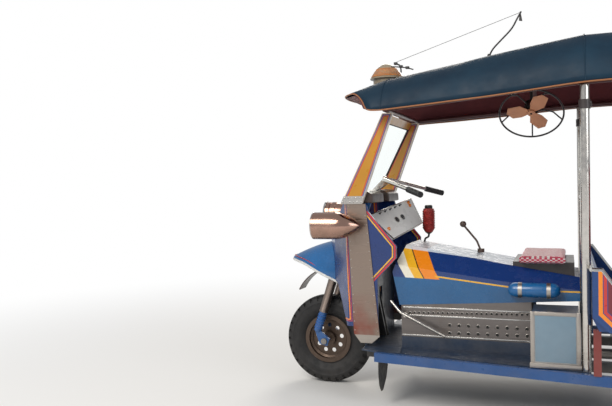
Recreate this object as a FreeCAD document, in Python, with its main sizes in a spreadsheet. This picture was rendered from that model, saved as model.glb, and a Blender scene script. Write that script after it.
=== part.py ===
import FreeCAD, Part
import Sketcher
import math
import os
import re

# A three-wheeled auto rickshaw with an open cab, a bench for passengers and a vinyl roof.
# X points forward, Y to the left and Z up. The origin is on the ground, midway along its length.

V = FreeCAD.Vector

# Driving dimensions: alias, value in millimetres or degrees, what it measures
SIZES = (
    ("front_axle_ahead", 1330, "front axle ahead of the origin"),
    ("wheelbase", 2150, "front axle to rear axle"),
    ("tyre_radius", 270, "wheel radius over the tyre"),
    ("tyre_width", 126, "tyre section width"),
    ("bead_radius", 128, "rim seat under the tyre bead"),
    ("flange_radius", 146, "rim flange outside radius"),
    ("rim_width", 96, "rim width over its flanges"),
    ("disc_thickness", 6, "wheel disc thickness"),
    ("disc_hole_radius", 13, "round holes in the wheel disc"),
    ("disc_hole_ring", 92, "circle of the disc holes"),
    ("hub_radius", 44, "wheel hub barrel"),
    ("hub_width", 88, "wheel hub length"),
    ("axle_radius", 10, "front axle pin"),
    ("spindle_radius", 17, "rear wheel spindle"),
    ("running_gap", 0.05, "radial clearance of a running fit"),
    ("seat_gap", 0.3, "gap between seated pieces"),
    ("rear_wheel_side", 560, "rear wheel centre from the middle"),
    ("rake", 18.3, "steering axis lean"),
    ("axis_ahead", 20, "steering axis ahead of the axle at axle height"),
    ("leg_ahead", 42, "fork legs ahead of the steering axis"),
    ("leg_side", 108, "fork leg from the middle"),
    ("leg_radius", 23, "lower fork leg"),
    ("leg_foot", 50, "lower leg's end above the axle"),
    ("cover_foot", 311, "cover's lower end above the axle"),
    ("cover_radius", 29, "fork cover"),
    ("crown_height", 478, "fork crown above the axle"),
    ("crown_thickness", 32, "fork crown plate"),
    ("stem_radius", 21, "steering stem"),
    ("head_radius", 33, "steering head tube"),
    ("head_bottom", 516, "head tube foot above the axle"),
    ("head_top", 745, "head tube top above the axle"),
    ("bar_height", 1050, "handlebar above the axle"),
    ("bar_rise", 145, "handlebar above the stem's upper end"),
    ("bar_back", 72, "middle of the handlebar behind the axis"),
    ("bar_radius", 11, "handlebar tube"),
    ("grip_radius", 17, "hand grip"),
    ("grip_end_back", 352, "grip end behind the axis"),
    ("grip_end_side", 346, "grip end from the middle"),
    ("grip_start_back", 240, "grip start behind the axis"),
    ("grip_start_side", 236, "grip start from the middle"),
    ("rail_side", 320, "frame rail from the middle"),
    ("rail_width", 40, "frame rail"),
    ("rail_depth", 50, "frame rail"),
    ("rail_foot", 250, "frame rail underside"),
    ("kick_rise", 170, "rise of the rails over the rear axle"),
    ("frame_front", 1000, "front end of the rails"),
    ("frame_rear", -1490, "rear end of the rails"),
    ("floor_thickness", 8, "driver's floor plate"),
    ("toe_board_ahead", 1010, "front face of the toe board behind the front wheel"),
    ("toe_board_top", 700, "top of the toe board"),
    ("plinth_width", 20, "plinth under the engine guards"),
    ("sill_front", 924, "front end of the side sill"),
    ("sill_front_side", 470, "sill outer face at its front"),
    ("sill_rear", -480, "rear end of the side sill"),
    ("sill_rear_side", 668, "sill outer face at its rear"),
    ("sill_width", 30, "side sill"),
    ("sill_depth", 48, "side sill"),
    ("cowl_front", 1290, "middle of the cowl's front"),
    ("cowl_side", 352, "cowl outer side"),
    ("cowl_wall", 14, "cowl wall"),
    ("cowl_top", 1108, "cowl top edge"),
    ("cowl_foot", 420, "cowl lower edge"),
    ("well_side", 232, "half width of the front wheel opening"),
    ("well_top", 690, "top of the front wheel opening's straight sides"),
    ("arch_side", 172, "radius of the arch over the front wheel opening"),
    ("strip_thickness", 6, "steel side strip"),
    ("strip_foot", 330, "lower end of the steel side strip"),
    ("lamp_radius", 75, "headlamp"),
    ("lamp_front", 1269, "headlamp rim"),
    ("lamp_rear", 1004, "tip of the headlamp shell"),
    ("lamp_height", 990, "headlamp centre"),
    ("screen_top", 1604, "windscreen frame top"),
    ("screen_foot_ahead", 1130, "front edge of the windscreen frame at its foot"),
    ("screen_foot_width", 122, "windscreen pillar at its foot"),
    ("screen_top_ahead", 884, "front edge of the windscreen frame at its top"),
    ("screen_top_width", 58, "windscreen pillar at its top"),
    ("screen_side", 368, "windscreen frame outer side"),
    ("screen_rail", 42, "windscreen foot rail and header"),
    ("screen_rail_thickness", 16, "windscreen foot rail and header"),
    ("pillar_thickness", 24, "windscreen side pillar"),
    ("glass_thickness", 6, "windscreen glass"),
    ("tunnel_side", 300, "engine guard outer face"),
    ("guard_thickness", 5, "perforated engine guard"),
    ("guard_foot", 369, "engine guard lower edge"),
    ("guard_front", 860, "engine guard front end"),
    ("guard_rear", 118, "engine guard rear end"),
    ("guard_front_top", 540, "engine guard upper edge at its front"),
    ("guard_rear_top", 585, "engine guard upper edge at its rear"),
    ("fairing_front_top", 880, "fairing ridge at its front"),
    ("fairing_waist", 258, "station where the fairing goes under the seat"),
    ("fairing_waist_top", 772, "fairing ridge there"),
    ("fairing_tail", -120, "fairing's rear end"),
    ("fairing_tail_top", 712, "fairing ridge at its rear end"),
    ("seat_frame_top", 787, "driver's seat frame"),
    ("seat_pad_thickness", 30, "driver's seat pad"),
    ("post_ahead", -143.6, "roof post ahead of the origin"),
    ("post_side", 550, "roof post from the middle"),
    ("post_radius", 22, "roof post"),
    ("rear_post_ahead", -1380, "rear roof post"),
    ("rear_post_side", 585, "rear roof post from the middle"),
    ("roof_rail_height", 1684, "roof side rail over the middle posts"),
    ("roof_rail_rise", 18, "rise of the roof rail from the middle posts to its rear end"),
    ("tub_front", -166, "front wall of the passenger tub"),
    ("tub_rear", -1520, "rear wall of the passenger tub"),
    ("tub_side", 690, "outer side of the passenger tub"),
    ("tub_wall", 25, "tub wall"),
    ("tub_foot", 520, "tub lower edge"),
    ("tub_front_top", 802, "tub upper edge at its front"),
    ("tub_entry_top", 650, "tub upper edge in the entry"),
    ("tub_rear_top", 960, "tub upper edge beside the bench"),
    ("deck_top", 645, "deck over the rear wheels"),
    ("arch_radius", 325, "rear wheel arch"),
    ("plate_bolt_spacing", 140, "number plate bolts"),
    ("plate_bolt_height", 560, "number plate bolts above the ground"),
    ("plate_bolt_radius", 3.5, "number plate bolt holes"),
    ("bench_front", -640, "front of the passenger bench"),
    ("bench_rear", -1150, "rear of the passenger bench"),
    ("bench_top", 800, "top of the passenger bench"),
    ("bench_gap", 65, "passenger bench to the tub's side walls"),
    ("roof_wall", 22, "canopy thickness"),
    ("roof_front", 1180, "front lip of the roof"),
    ("roof_rear", -1590, "rear edge of the roof"),
    ("roof_lip_radius", 640, "plan radius of the roof's front lip"),
    ("bow_radius", 14, "roof frame tube"),
    ("lamp_dome_ahead", 920, "roof lamp ahead of the origin"),
    ("lamp_dome_side", 100, "roof lamp from the middle"),
    ("lamp_dome_radius", 96, "roof lamp"),
    ("whip_ahead", 322, "antenna ahead of the origin"),
    ("whip_side", 200, "antenna from the middle"),
    ("fan_radius", 170, "fan guard ring"),
    ("fan_ahead", 120, "fan centre ahead of the origin"),
    ("fan_side", 40, "fan centre from the middle"),
    ("fan_height", 1590, "fan centre"),
)

doc = FreeCAD.newDocument("AutoRickshaw")
sheet = doc.addObject("Spreadsheet::Sheet", "Sizes")
for line, (alias, number, meaning) in enumerate(SIZES, start=1):
    sheet.set(f"A{line}", meaning)
    sheet.set(f"B{line}", str(number))
    sheet.setAlias(f"B{line}", alias)
doc.recompute()
ALIASES = {alias for alias, _, _ in SIZES}
pieces = []


def named(text):
    """The expression with each alias read from the sheet."""
    return re.sub(r"[a-z][a-z0-9_]*", lambda m: "Sizes." + m.group() if m.group() in ALIASES else m.group(), str(text))


def size(text):
    """The value of an expression of the sheet's aliases."""
    return float(sheet.evalExpression(named(text)))


class Piece:
    """A named body whose sketches and features take their sizes from the sheet."""

    ROLES = {"XY": "XY_Plane", "XZ": "XZ_Plane", "YZ": "YZ_Plane"}

    def __init__(self, name):
        self.body = doc.addObject("PartDesign::Body", name)
        self.body.Label = name
        self.last = None
        pieces.append(self.body)

    def sketch(self, plane, at="0", side="0"):
        """A sketch parallel to a base plane; XZ sketches face -Y, so their offset changes sign."""
        sketch = self.body.newObject("Sketcher::SketchObject", "Sketch")
        role = self.ROLES[plane]
        base = [f for f in self.body.Origin.OriginFeatures if f.Role == role][0]
        sketch.AttachmentSupport = [(base, "")]
        sketch.MapMode = "FlatFace"
        offset = f"-({at})" if plane == "XZ" else at
        sketch.setExpression("AttachmentOffset.Base.z", named(offset))
        sketch.setExpression("AttachmentOffset.Base.y", named(side))
        return sketch

    def pin_point(self, sketch, geometry, end, across, up):
        for kind, text in (("DistanceX", across), ("DistanceY", up)):
            index = sketch.addConstraint(Sketcher.Constraint(kind, -1, 1, geometry, end, size(text)))
            sketch.setExpression(f"Constraints[{index}]", named(text))

    def outline(self, sketch, corners):
        """A closed outline; a corner with a third entry starts an arc through that point."""
        places = [V(size(c[0]), size(c[1]), 0) for c in corners]
        edges = []
        for i, corner in enumerate(corners):
            here, there = places[i], places[(i + 1) % len(corners)]
            if len(corner) == 3:
                through = V(size(corner[2][0]), size(corner[2][1]), 0)
                edges.append(sketch.addGeometry(Part.Arc(here, through, there)))
            else:
                edges.append(sketch.addGeometry(Part.LineSegment(here, there)))
        ends = []
        for i, edge in enumerate(edges):
            first = 1 if sketch.getPoint(edge, 1).distanceToPoint(places[i]) < 1e-4 else 2
            ends.append((first, 3 - first))
        for i, edge in enumerate(edges):
            after = (i + 1) % len(edges)
            sketch.addConstraint(Sketcher.Constraint("Coincident", edge, ends[i][1], edges[after], ends[after][0]))
            self.pin_point(sketch, edge, ends[i][0], *corners[i][:2])
        for edge, corner in zip(edges, corners):
            if len(corner) == 3:
                through = sketch.addGeometry(Part.Point(V(size(corner[2][0]), size(corner[2][1]), 0)))
                sketch.toggleConstruction(through)
                self.pin_point(sketch, through, 1, *corner[2])
                sketch.addConstraint(Sketcher.Constraint("PointOnObject", through, 1, edge))

    def circles(self, sketch, centres, radius):
        for across, up in centres:
            round_edge = sketch.addGeometry(Part.Circle(V(size(across), size(up), 0), V(0, 0, 1), size(radius)))
            index = sketch.addConstraint(Sketcher.Constraint("Radius", round_edge, size(radius)))
            sketch.setExpression(f"Constraints[{index}]", named(radius))
            self.pin_point(sketch, round_edge, 3, across, up)

    def feature(self, kind, sketch, length):
        made = self.body.newObject(f"PartDesign::{kind}", kind)
        made.Profile = sketch
        made.setExpression("Length", named(length))
        sketch.Visibility = False
        self.last = made
        return made

    def pad(self, plane, corners, start, stop):
        sketch = self.sketch(plane, stop if plane == "XZ" else start)
        self.outline(sketch, corners)
        return self.feature("Pad", sketch, f"({stop}) - ({start})")

    def rod(self, plane, centres, radius, start, stop):
        sketch = self.sketch(plane, stop if plane == "XZ" else start)
        self.circles(sketch, centres, radius)
        return self.feature("Pad", sketch, f"({stop}) - ({start})")

    def cut(self, plane, corners, start, stop):
        sketch = self.sketch(plane, start if plane == "XZ" else stop)
        self.outline(sketch, corners)
        return self.feature("Pocket", sketch, f"({stop}) - ({start})")

    def drill(self, plane, centres, radius, start, stop):
        sketch = self.sketch(plane, start if plane == "XZ" else stop)
        self.circles(sketch, centres, radius)
        return self.feature("Pocket", sketch, f"({stop}) - ({start})")

    def turn(self, plane, corners, axis, at="0", side="0", kind="Revolution"):
        """A turned form about the sketch's H_Axis or V_Axis."""
        sketch = self.sketch(plane, at, side)
        self.outline(sketch, corners)
        made = self.body.newObject(f"PartDesign::{kind}", kind)
        made.Profile = sketch
        made.ReferenceAxis = (sketch, [axis])
        made.Angle = 360
        self.last = made
        return made

    def ring_pattern(self, feature, axis_role, count):
        pattern = self.body.newObject("PartDesign::PolarPattern", "PolarPattern")
        pattern.Originals = [feature]
        axis = [f for f in self.body.Origin.OriginFeatures if f.Role == axis_role][0]
        pattern.Axis = (axis, [""])
        pattern.Angle = 360
        pattern.Occurrences = count
        self.body.Tip = pattern
        self.last = pattern
        return pattern

    def row_pattern(self, features, axis_role, length, count, backwards=False):
        pattern = self.body.newObject("PartDesign::LinearPattern", "LinearPattern")
        pattern.Originals = features
        axis = [f for f in self.body.Origin.OriginFeatures if f.Role == axis_role][0]
        pattern.Direction = (axis, [""])
        pattern.Reversed = backwards
        pattern.setExpression("Length", named(length))
        pattern.Occurrences = count
        self.body.Tip = pattern
        self.last = pattern
        return pattern

    def mirror(self, features, plane="XZ"):
        mirrored = self.body.newObject("PartDesign::Mirrored", "Mirrored")
        mirrored.Originals = features
        base = [f for f in self.body.Origin.OriginFeatures if f.Role == self.ROLES[plane]][0]
        mirrored.MirrorPlane = (base, [""])
        self.body.Tip = mirrored
        self.last = mirrored
        return mirrored

    def round(self, radius, wanted):
        """Round the edges whose middle point the test wants."""
        doc.recompute()
        edges = self.last.Shape.Edges
        names = [f"Edge{i}" for i, edge in enumerate(edges, start=1)
                 if wanted(edge.valueAt((edge.FirstParameter + edge.LastParameter) / 2))]
        fillet = self.body.newObject("PartDesign::Fillet", "Fillet")
        fillet.Base = (self.last, names)
        fillet.setExpression("Radius", named(radius))
        self.last = fillet
        return fillet

    def place(self, across="0", side="0", up="0", lean=None):
        if lean:
            self.body.Placement = FreeCAD.Placement(V(0, 0, 0), FreeCAD.Rotation(V(0, 1, 0), size(lean)))
            self.body.setExpression("Placement.Rotation.Angle", named(lean))
        for axis, text in (("x", across), ("y", side), ("z", up)):
            self.body.setExpression(f"Placement.Base.{axis}", named(text))


def feature_piece(name, shape, placement=None):
    """A sub-part whose form needs Part's own functions."""
    made = doc.addObject("Part::Feature", name)
    made.Label = name
    made.Shape = shape
    if placement:
        made.Placement = placement
    pieces.append(made)
    return made


def bent_tube(points, radius, bend=0.0):
    """A round tube along straight runs joined by arcs of the bend radius."""
    points = [V(*p) for p in points]
    edges = []
    start = points[0]
    for before, corner, after in zip(points, points[1:], points[2:]):
        back = (before - corner).normalize()
        ahead = (after - corner).normalize()
        half = back.getAngle(ahead) / 2
        setback = bend / math.tan(half)
        middle = (back + ahead).normalize()
        enter, leave = corner + back * setback, corner + ahead * setback
        deepest = corner + middle * (bend / math.sin(half) - bend)
        edges += [Part.LineSegment(start, enter).toShape(), Part.Arc(enter, deepest, leave).toShape()]
        start = leave
    edges.append(Part.LineSegment(start, points[-1]).toShape())
    circle = Part.Wire(Part.makeCircle(radius, points[0], points[1] - points[0]))
    return Part.Wire(edges).makePipeShell([circle], True, False)


def box(low, high):
    return Part.makeBox(*[b - a for a, b in zip(low, high)], V(*low))


def both_sides(shape):
    """The shape and its mirror image across the middle plane, as one compound."""
    return Part.makeCompound([shape, shape.mirror(V(0, 0, 0), V(0, 1, 0))])


def slab(plane, corners, start, stop):
    """A plate from a polygon of (across, up) in the plane, between two distances from it."""
    if plane == "XZ":
        points = [V(a, start, b) for a, b in corners]
        travel = V(0, stop - start, 0)
    elif plane == "YZ":
        points = [V(start, a, b) for a, b in corners]
        travel = V(stop - start, 0, 0)
    else:
        points = [V(a, b, start) for a, b in corners]
        travel = V(0, 0, stop - start)
    return Part.Face(Part.makePolygon(points + points[:1])).extrude(travel)


front_axle = size("front_axle_ahead")
rear_axle = size("front_axle_ahead - wheelbase")
axle_height = size("tyre_radius")
raked = FreeCAD.Placement(
    V(size("front_axle_ahead + axis_ahead"), 0, axle_height),
    FreeCAD.Rotation(V(0, 1, 0), -size("rake")))
lean_angle = math.radians(size("rake"))
# The axle as the leaning fork sees it, from the steering axis at axle height
axle_local_x = -size("axis_ahead") * math.cos(lean_angle)
axle_local_z = size("axis_ahead") * math.sin(lean_angle)


# Wheels

def make_tyre(name, place):
    """A tyre with round shoulders and a low crown, turned about its axle."""
    tyre = Piece(name)
    half = "tyre_width / 2"
    tread = "(tyre_width * 0.38)"
    tyre.turn("YZ", (
        ("-rim_width / 2 + 8", "bead_radius + seat_gap"),
        ("rim_width / 2 - 8", "bead_radius + seat_gap"),
        ("rim_width / 2 - 8", "flange_radius + 4", (half, "flange_radius / 2 + tyre_radius / 2 - 6")),
        (tread, "tyre_radius - 8", ("0", "tyre_radius")),
        (f"-{tread}", "tyre_radius - 8", (f"-{half}", "flange_radius / 2 + tyre_radius / 2 - 6")),
        ("-rim_width / 2 + 8", "flange_radius + 4"),
    ), "H_Axis")
    tyre.place(*place)


def make_rim(name, place, bore, outside):
    """A pressed steel wheel: well rim, dished disc with round holes, hub barrel with its bore."""
    rim = Piece(name)
    rim.turn("YZ", (
        ("-rim_width / 2", "bead_radius - 6"),
        ("-rim_width / 2 + 22", "bead_radius - 6"),
        ("-rim_width / 2 + 30", "bead_radius - 20"),
        (f"{outside} - disc_thickness", "bead_radius - 20"),
        (f"{outside} - disc_thickness", "hub_radius"),
        ("-hub_width / 2", "hub_radius"),
        ("-hub_width / 2", f"{bore} + running_gap"),
        ("hub_width / 2", f"{bore} + running_gap"),
        ("hub_width / 2", "hub_radius"),
        (f"{outside}", "hub_radius"),
        (f"{outside}", "bead_radius - 20"),
        ("rim_width / 2 - 30", "bead_radius - 20"),
        ("rim_width / 2 - 22", "bead_radius - 6"),
        ("rim_width / 2", "bead_radius - 6"),
        ("rim_width / 2", "flange_radius"),
        ("rim_width / 2 - 6", "flange_radius"),
        ("rim_width / 2 - 6", "bead_radius"),
        ("rim_width / 2 - 25", "bead_radius"),
        ("rim_width / 2 - 33", "bead_radius - 14"),
        ("-rim_width / 2 + 33", "bead_radius - 14"),
        ("-rim_width / 2 + 25", "bead_radius"),
        ("-rim_width / 2 + 6", "bead_radius"),
        ("-rim_width / 2 + 6", "flange_radius"),
        ("-rim_width / 2", "flange_radius"),
    ), "H_Axis")
    hole = rim.drill("XZ", (("0", "disc_hole_ring * 0.86"),), "disc_hole_radius",
                     f"{outside} - disc_thickness - 2", f"{outside} + 2")
    rim.ring_pattern(hole, "Y_Axis", 9)
    rim.place(*place)


WHEELS = (  # name, ahead, side, disc's outer face from the wheel's middle, bore radius
    ("front", "front_axle_ahead", "0", "12", "axle_radius"),
    ("rear_left", "front_axle_ahead - wheelbase", "rear_wheel_side", "12", "spindle_radius"),
    ("rear_right", "front_axle_ahead - wheelbase", "-rear_wheel_side", "-6", "spindle_radius"),
)
for wheel, ahead, side, outside, bore in WHEELS:
    make_tyre(f"{wheel}_tyre", (ahead, side, "tyre_radius"))
    make_rim(f"{wheel}_rim", (ahead, side, "tyre_radius"), bore, outside)


# Steering

def make_fork():
    """Lower legs with axle lugs, crown plate and stem, in the leaning frame of the steering axis."""
    fork = Piece("front_fork")
    fork.rod("XY", (("leg_ahead", "leg_side"), ("leg_ahead", "-leg_side")), "leg_radius", "leg_foot", "crown_height")
    fork.pad("XY", (
        ("-stem_radius - 14", "-leg_side + 20"), ("leg_ahead - 10", "-leg_side - cover_radius"),
        ("leg_ahead + cover_radius", "-leg_side - cover_radius + 8"),
        ("leg_ahead + cover_radius", "leg_side + cover_radius - 8"),
        ("leg_ahead - 10", "leg_side + cover_radius"), ("-stem_radius - 14", "leg_side - 20"),
    ), "crown_height", "crown_height + crown_thickness")
    fork.rod("XY", (("0", "0"),), "stem_radius", "crown_height + crown_thickness", "bar_height - bar_rise")
    for side, start, stop in (("left", "leg_side - 9", "leg_side + 9"), ("right", "-leg_side - 9", "-leg_side + 9")):
        fork.pad("XZ", (
            (str(axle_local_x - 26), str(axle_local_z - 24)), (str(axle_local_x + 24), str(axle_local_z - 26)),
            ("leg_ahead + leg_radius - 6", "leg_foot"), ("leg_ahead + leg_radius - 6", "leg_foot + 70"),
            ("leg_ahead - leg_radius + 4", "leg_foot + 70"), ("leg_ahead - leg_radius + 2", "leg_foot + 6"),
            (str(axle_local_x - 26), str(axle_local_z + 24)),
        ), start, stop)
    fork.drill("XZ", ((str(axle_local_x), str(axle_local_z)),), "axle_radius + running_gap",
               "-leg_side - 20", "leg_side + 20")
    fork.place("front_axle_ahead + axis_ahead", "0", "tyre_radius", "-rake")


def make_fork_covers():
    """Steel shrouds round the upper legs, wider at the foot."""
    covers = Piece("fork_covers")
    covers.rod("XY", (("leg_ahead", "leg_side"), ("leg_ahead", "-leg_side")), "cover_radius",
               "cover_foot", "crown_height - seat_gap")
    covers.drill("XY", (("leg_ahead", "leg_side"), ("leg_ahead", "-leg_side")), "leg_radius + seat_gap",
                 "cover_foot - 2", "crown_height + 2")
    covers.place("front_axle_ahead + axis_ahead", "0", "tyre_radius", "-rake")


def make_axle():
    axle = Piece("front_axle")
    axle.rod("XZ", (("0", "0"),), "axle_radius", "-leg_side - 9", "leg_side + 9")
    axle.rod("XZ", (("0", "0"),), "axle_radius + 8", "-leg_side - 23", "-leg_side - 9")
    axle.rod("XZ", (("0", "0"),), "axle_radius + 8", "leg_side + 9", "leg_side + 23")
    for start, stop in (("hub_width / 2 + seat_gap", "leg_side - 9 - seat_gap"),
                        ("-leg_side + 9 + seat_gap", "-hub_width / 2 - seat_gap")):
        axle.rod("XZ", (("0", "0"),), "axle_radius + 6", start, stop)
    axle.place("front_axle_ahead", "0", "tyre_radius")


def make_handlebar():
    """Two swept bars in one plane, clamped to the stem, with their switch and lever blocks."""
    height = size("bar_height")
    middle = -size("bar_back")
    starts = (-size("grip_start_back"), size("grip_start_side"))
    ends = (-size("grip_end_back"), size("grip_end_side"))
    points = [(ends[0], ends[1], height), (starts[0], starts[1], height), (middle, 92, height),
              (middle, -92, height), (starts[0], -starts[1], height), (ends[0], -ends[1], height)]
    bar = bent_tube(points, size("bar_radius"), 46)
    foot = size("bar_height - bar_rise")
    clamp = slab("XZ", ((-20, foot), (16, foot), (16, foot + 12), (middle + 24, height - 6), (middle + 24, height + 15),
                        (middle - 24, height + 15), (middle - 24, height - 12), (-22, foot + 50)), -22, 22)
    feature_piece("handlebar", bar.fuse(clamp).removeSplitter(), raked)
    grips = []
    along = V(ends[0] - starts[0], ends[1] - starts[1], 0)
    for flip in (1, -1):
        direction = V(along.x, along.y * flip, 0).normalize()
        first = V(starts[0], starts[1] * flip, height) + direction * 34
        length = along.Length - 34 + 8
        sleeve = Part.makeCylinder(size("grip_radius"), length, first, direction)
        hollow = Part.makeCylinder(size("bar_radius + seat_gap"), length - 7.6, first, direction)
        grips.append(sleeve.cut(hollow))
    feature_piece("hand_grips", Part.makeCompound(grips), raked)


def make_mudguard():
    """A curved blade over the tyre, carried under the fork crown."""
    half = 56
    arc = ((1512, 572), (1470, 632), (1400, 686), (1330, 714), (1262, 716))
    thick = 5
    upper = [V(x, 0, z) for x, z in arc]
    lower = [V(x - 4, 0, z - thick) for x, z in arc]
    top = Part.Arc(upper[0], upper[2], upper[4]).toShape()
    under = Part.Arc(lower[4], lower[2], lower[0]).toShape()
    face = Part.Face(Part.Wire([
        top, Part.LineSegment(upper[4], lower[4]).toShape(), under, Part.LineSegment(lower[0], upper[0]).toShape()]))
    blade = face.extrude(V(0, 2 * half, 0))
    blade.translate(V(0, -half, 0))
    reach = size("leg_side - cover_radius - seat_gap")
    stay = box((1256, -reach, 706), (1276, reach, 714))
    feature_piece("front_mudguard", blade.fuse(stay).removeSplitter())


make_fork()
make_fork_covers()
make_axle()
make_handlebar()
make_mudguard()

# Chassis


def make_frame():
    """Ladder frame with kicked-up rear, cross members, neck and steering head."""
    side, wide, deep = size("rail_side"), size("rail_width") / 2, size("rail_depth")
    foot, front, rear = size("rail_foot"), size("frame_front"), size("frame_rear")
    rise = foot + size("kick_rise")
    kick = size("front_axle_ahead - wheelbase + 400")
    profile = ((front, foot), (kick, foot), (kick - 110, rise), (rear, rise),
               (rear, rise + deep), (kick - 110 - 12, rise + deep), (kick - 12, foot + deep), (front, foot + deep))
    solids = []
    for flip in (1, -1):
        solids.append(slab("XZ", profile, flip * side - wide, flip * side + wide))
    for ahead, low in ((front - 40, foot), (kick + 90, foot + deep), (rear, rise)):
        solids.append(box((ahead, -side, low), (ahead + 40, side, low + deep)))
    solids.append(box((380, -side - wide, foot - 40), (430, side + wide, foot)))
    deck = size("deck_top - tub_wall - seat_gap")
    for ahead in (kick - 250, rear + 60):
        for flip in (1, -1):
            solids.append(box((ahead, flip * side - wide, rise + deep), (ahead + 40, flip * side + wide, deck)))
    head = Part.makeCylinder(size("head_radius"), size("head_top - head_bottom"), V(0, 0, size("head_bottom")))
    bore = Part.makeCylinder(size("stem_radius + running_gap"), 2000, V(0, 0, 0))
    for shape in (head, bore):
        shape.Placement = raked
    solids.append(head)
    neck = ((front - 40, foot + deep - 10), (front, foot + deep - 10), (1128, 900), (1118, 962), (1080, 962), (1075, 900))
    for flip in (1, -1):
        solids.append(slab("XZ", neck, flip * 27 - 7, flip * 27 + 7))
    frame = solids[0].multiFuse(solids[1:]).cut(bore).removeSplitter()
    feature_piece("ladder_frame", frame)


def make_floor():
    floor = Piece("floor_pan")
    top = "rail_foot + rail_depth"
    inner_front = "sill_front_side - sill_width"
    inner_rear = "sill_rear_side - sill_width"
    floor.pad("XY", (
        ("1010", f"-{inner_front} + 30"), ("sill_front", f"-({inner_front})"), ("tub_front + 4", "-580"), ("tub_front + 4", "580"),
        ("sill_front", inner_front), ("1010", f"{inner_front} - 30"),
    ), top, f"{top} + floor_thickness")
    width = "cowl_side - cowl_wall - seat_gap"
    floor.pad("YZ", ((f"-({width})", top), (width, top), (width, "toe_board_top"), (f"-({width})", "toe_board_top")),
              "toe_board_ahead - floor_thickness", "toe_board_ahead")
    plinth = floor.pad("XZ", (
        ("guard_front - 52", top), ("guard_front - 52", "guard_foot"), ("guard_rear", "guard_foot"), ("guard_rear", top),
    ), "tunnel_side - plinth_width", "tunnel_side")
    floor.mirror([plinth])
    width = "tunnel_side - guard_thickness - seat_gap"
    floor.pad("YZ", ((f"-({width})", top), (width, top), (width, "guard_front_top - 10"), (f"-({width})", "guard_front_top - 10")),
              "guard_front - 62", "guard_front - 54")
    floor.cut("XY", (("957", "-36"), ("1020", "-36"), ("1020", "36"), ("957", "36")), f"{top} - 2", "600")
    floor.cut("XY", (("160", "-230"), ("640", "-230"), ("640", "230"), ("160", "230")), f"{top} - 2", f"{top} + floor_thickness + 2")


def make_sills():
    """Side sills under the floor's edge, spreading towards the rear."""
    sills = Piece("side_sills")
    low = "rail_foot + rail_depth - 44"
    pad = sills.pad("XY", (
        ("sill_front", "sill_front_side - sill_width"), ("sill_front", "sill_front_side"),
        ("sill_rear", "sill_rear_side"), ("sill_rear", "sill_rear_side - sill_width"),
    ), low, f"{low} + sill_depth")
    sills.mirror([pad])


def make_cowl():
    """The U-shaped front shell: swept corner panels, sides and rear wings, open to the driver."""
    side, wall = size("cowl_side"), size("cowl_wall")
    low, high = size("cowl_foot"), size("cowl_top")
    front = size("cowl_front")
    slope = (front - 1134) / (high - 900)
    plans = (  # wall left between the two forms, plan outline
        (0, ((front, -60), (front, 60), (1225, 200), (1102, side), (820, side),
             (820, -side), (1102, -side), (1225, -200))),
        (wall, ((front - wall, -54), (front - wall, 54), (1214, 191), (1095, side - wall), (810, side - wall),
                (810, -side + wall), (1095, -side + wall), (1214, -191))),
    )
    forms = []
    for inset, plan in plans:
        form = slab("XY", plan, low - inset, high + inset)
        bonnet = ((front + 40, 900), (front - inset, 900), (front - inset - slope * (high + 40 - 900), high + 40),
                  (front + 40, high + 40))
        forms.append(form.cut(slab("XZ", bonnet, -side - 40, side + 40)))
    shell = forms[0].cut(forms[1])
    well = size("well_side")
    shell = shell.cut(box((1040, -well, low - 1), (front + 10, well, 640)))
    arch = size("arch_side")
    spring = size("well_top")
    shell = shell.cut(box((1150, -arch, 600), (front + 10, arch, spring)))
    shell = shell.cut(Part.makeCylinder(arch, front - 1140, V(1150, 0, spring), V(1, 0, 0)))
    wing = ((800, low - 1), (800, 822), (830, 800), (930, 690), (930, low - 1))
    shell = shell.cut(slab("XZ", wing, -side - 40, side + 40))
    upper = ((800, 880), (817, 871), (975, 1063), (990, high + 1), (800, high + 1))
    shell = shell.cut(slab("XZ", upper, -side - 40, side + 40))
    toe = ((1300, low - 1), (1300, 700), (1196, 640), (1112, low - 1))
    shell = shell.cut(slab("XZ", toe, -side - 40, side + 40))
    feature_piece("front_cowl", shell.removeSplitter())
    return forms[0]


def make_strips():
    strips = Piece("cowl_strips")
    face = "cowl_side + seat_gap"
    pad = strips.pad("XZ", (
        ("1100", "cowl_top"), ("990", "cowl_top"), ("920", "strip_foot + 40"),
        ("965", "strip_foot"), ("1030", "strip_foot"), ("1068", "strip_foot + 50"),
    ), face, f"{face} + strip_thickness")
    strips.mirror([pad])


def make_nose(cowl_form):
    """The beak over the front wheel: a lofted shell, open below and behind."""
    sections = (  # ahead, half width, top height, lower edge height
        (1200, 196, 886, 636),
        (1330, 176, 866, 690),
        (1450, 128, 826, 742),
        (1556, 34, 778, 756),
    )

    def loft(inset):
        wires = []
        for ahead, half, top, low in sections:
            half, top = half - inset, top - inset
            low = low if not inset else low - 1
            left, right, crown = V(ahead, -half, low), V(ahead, half, low), V(ahead, 0, top)
            arc = Part.Arc(left, crown, right).toShape()
            wires.append(Part.Wire([arc, Part.LineSegment(right, left).toShape()]))
        return Part.makeLoft(wires, True, False)

    behind = cowl_form.translated(V(size("seat_gap"), 0, 0))
    shell = loft(0).cut(loft(6)).cut(behind)
    feature_piece("nose_fender", shell)


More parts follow.
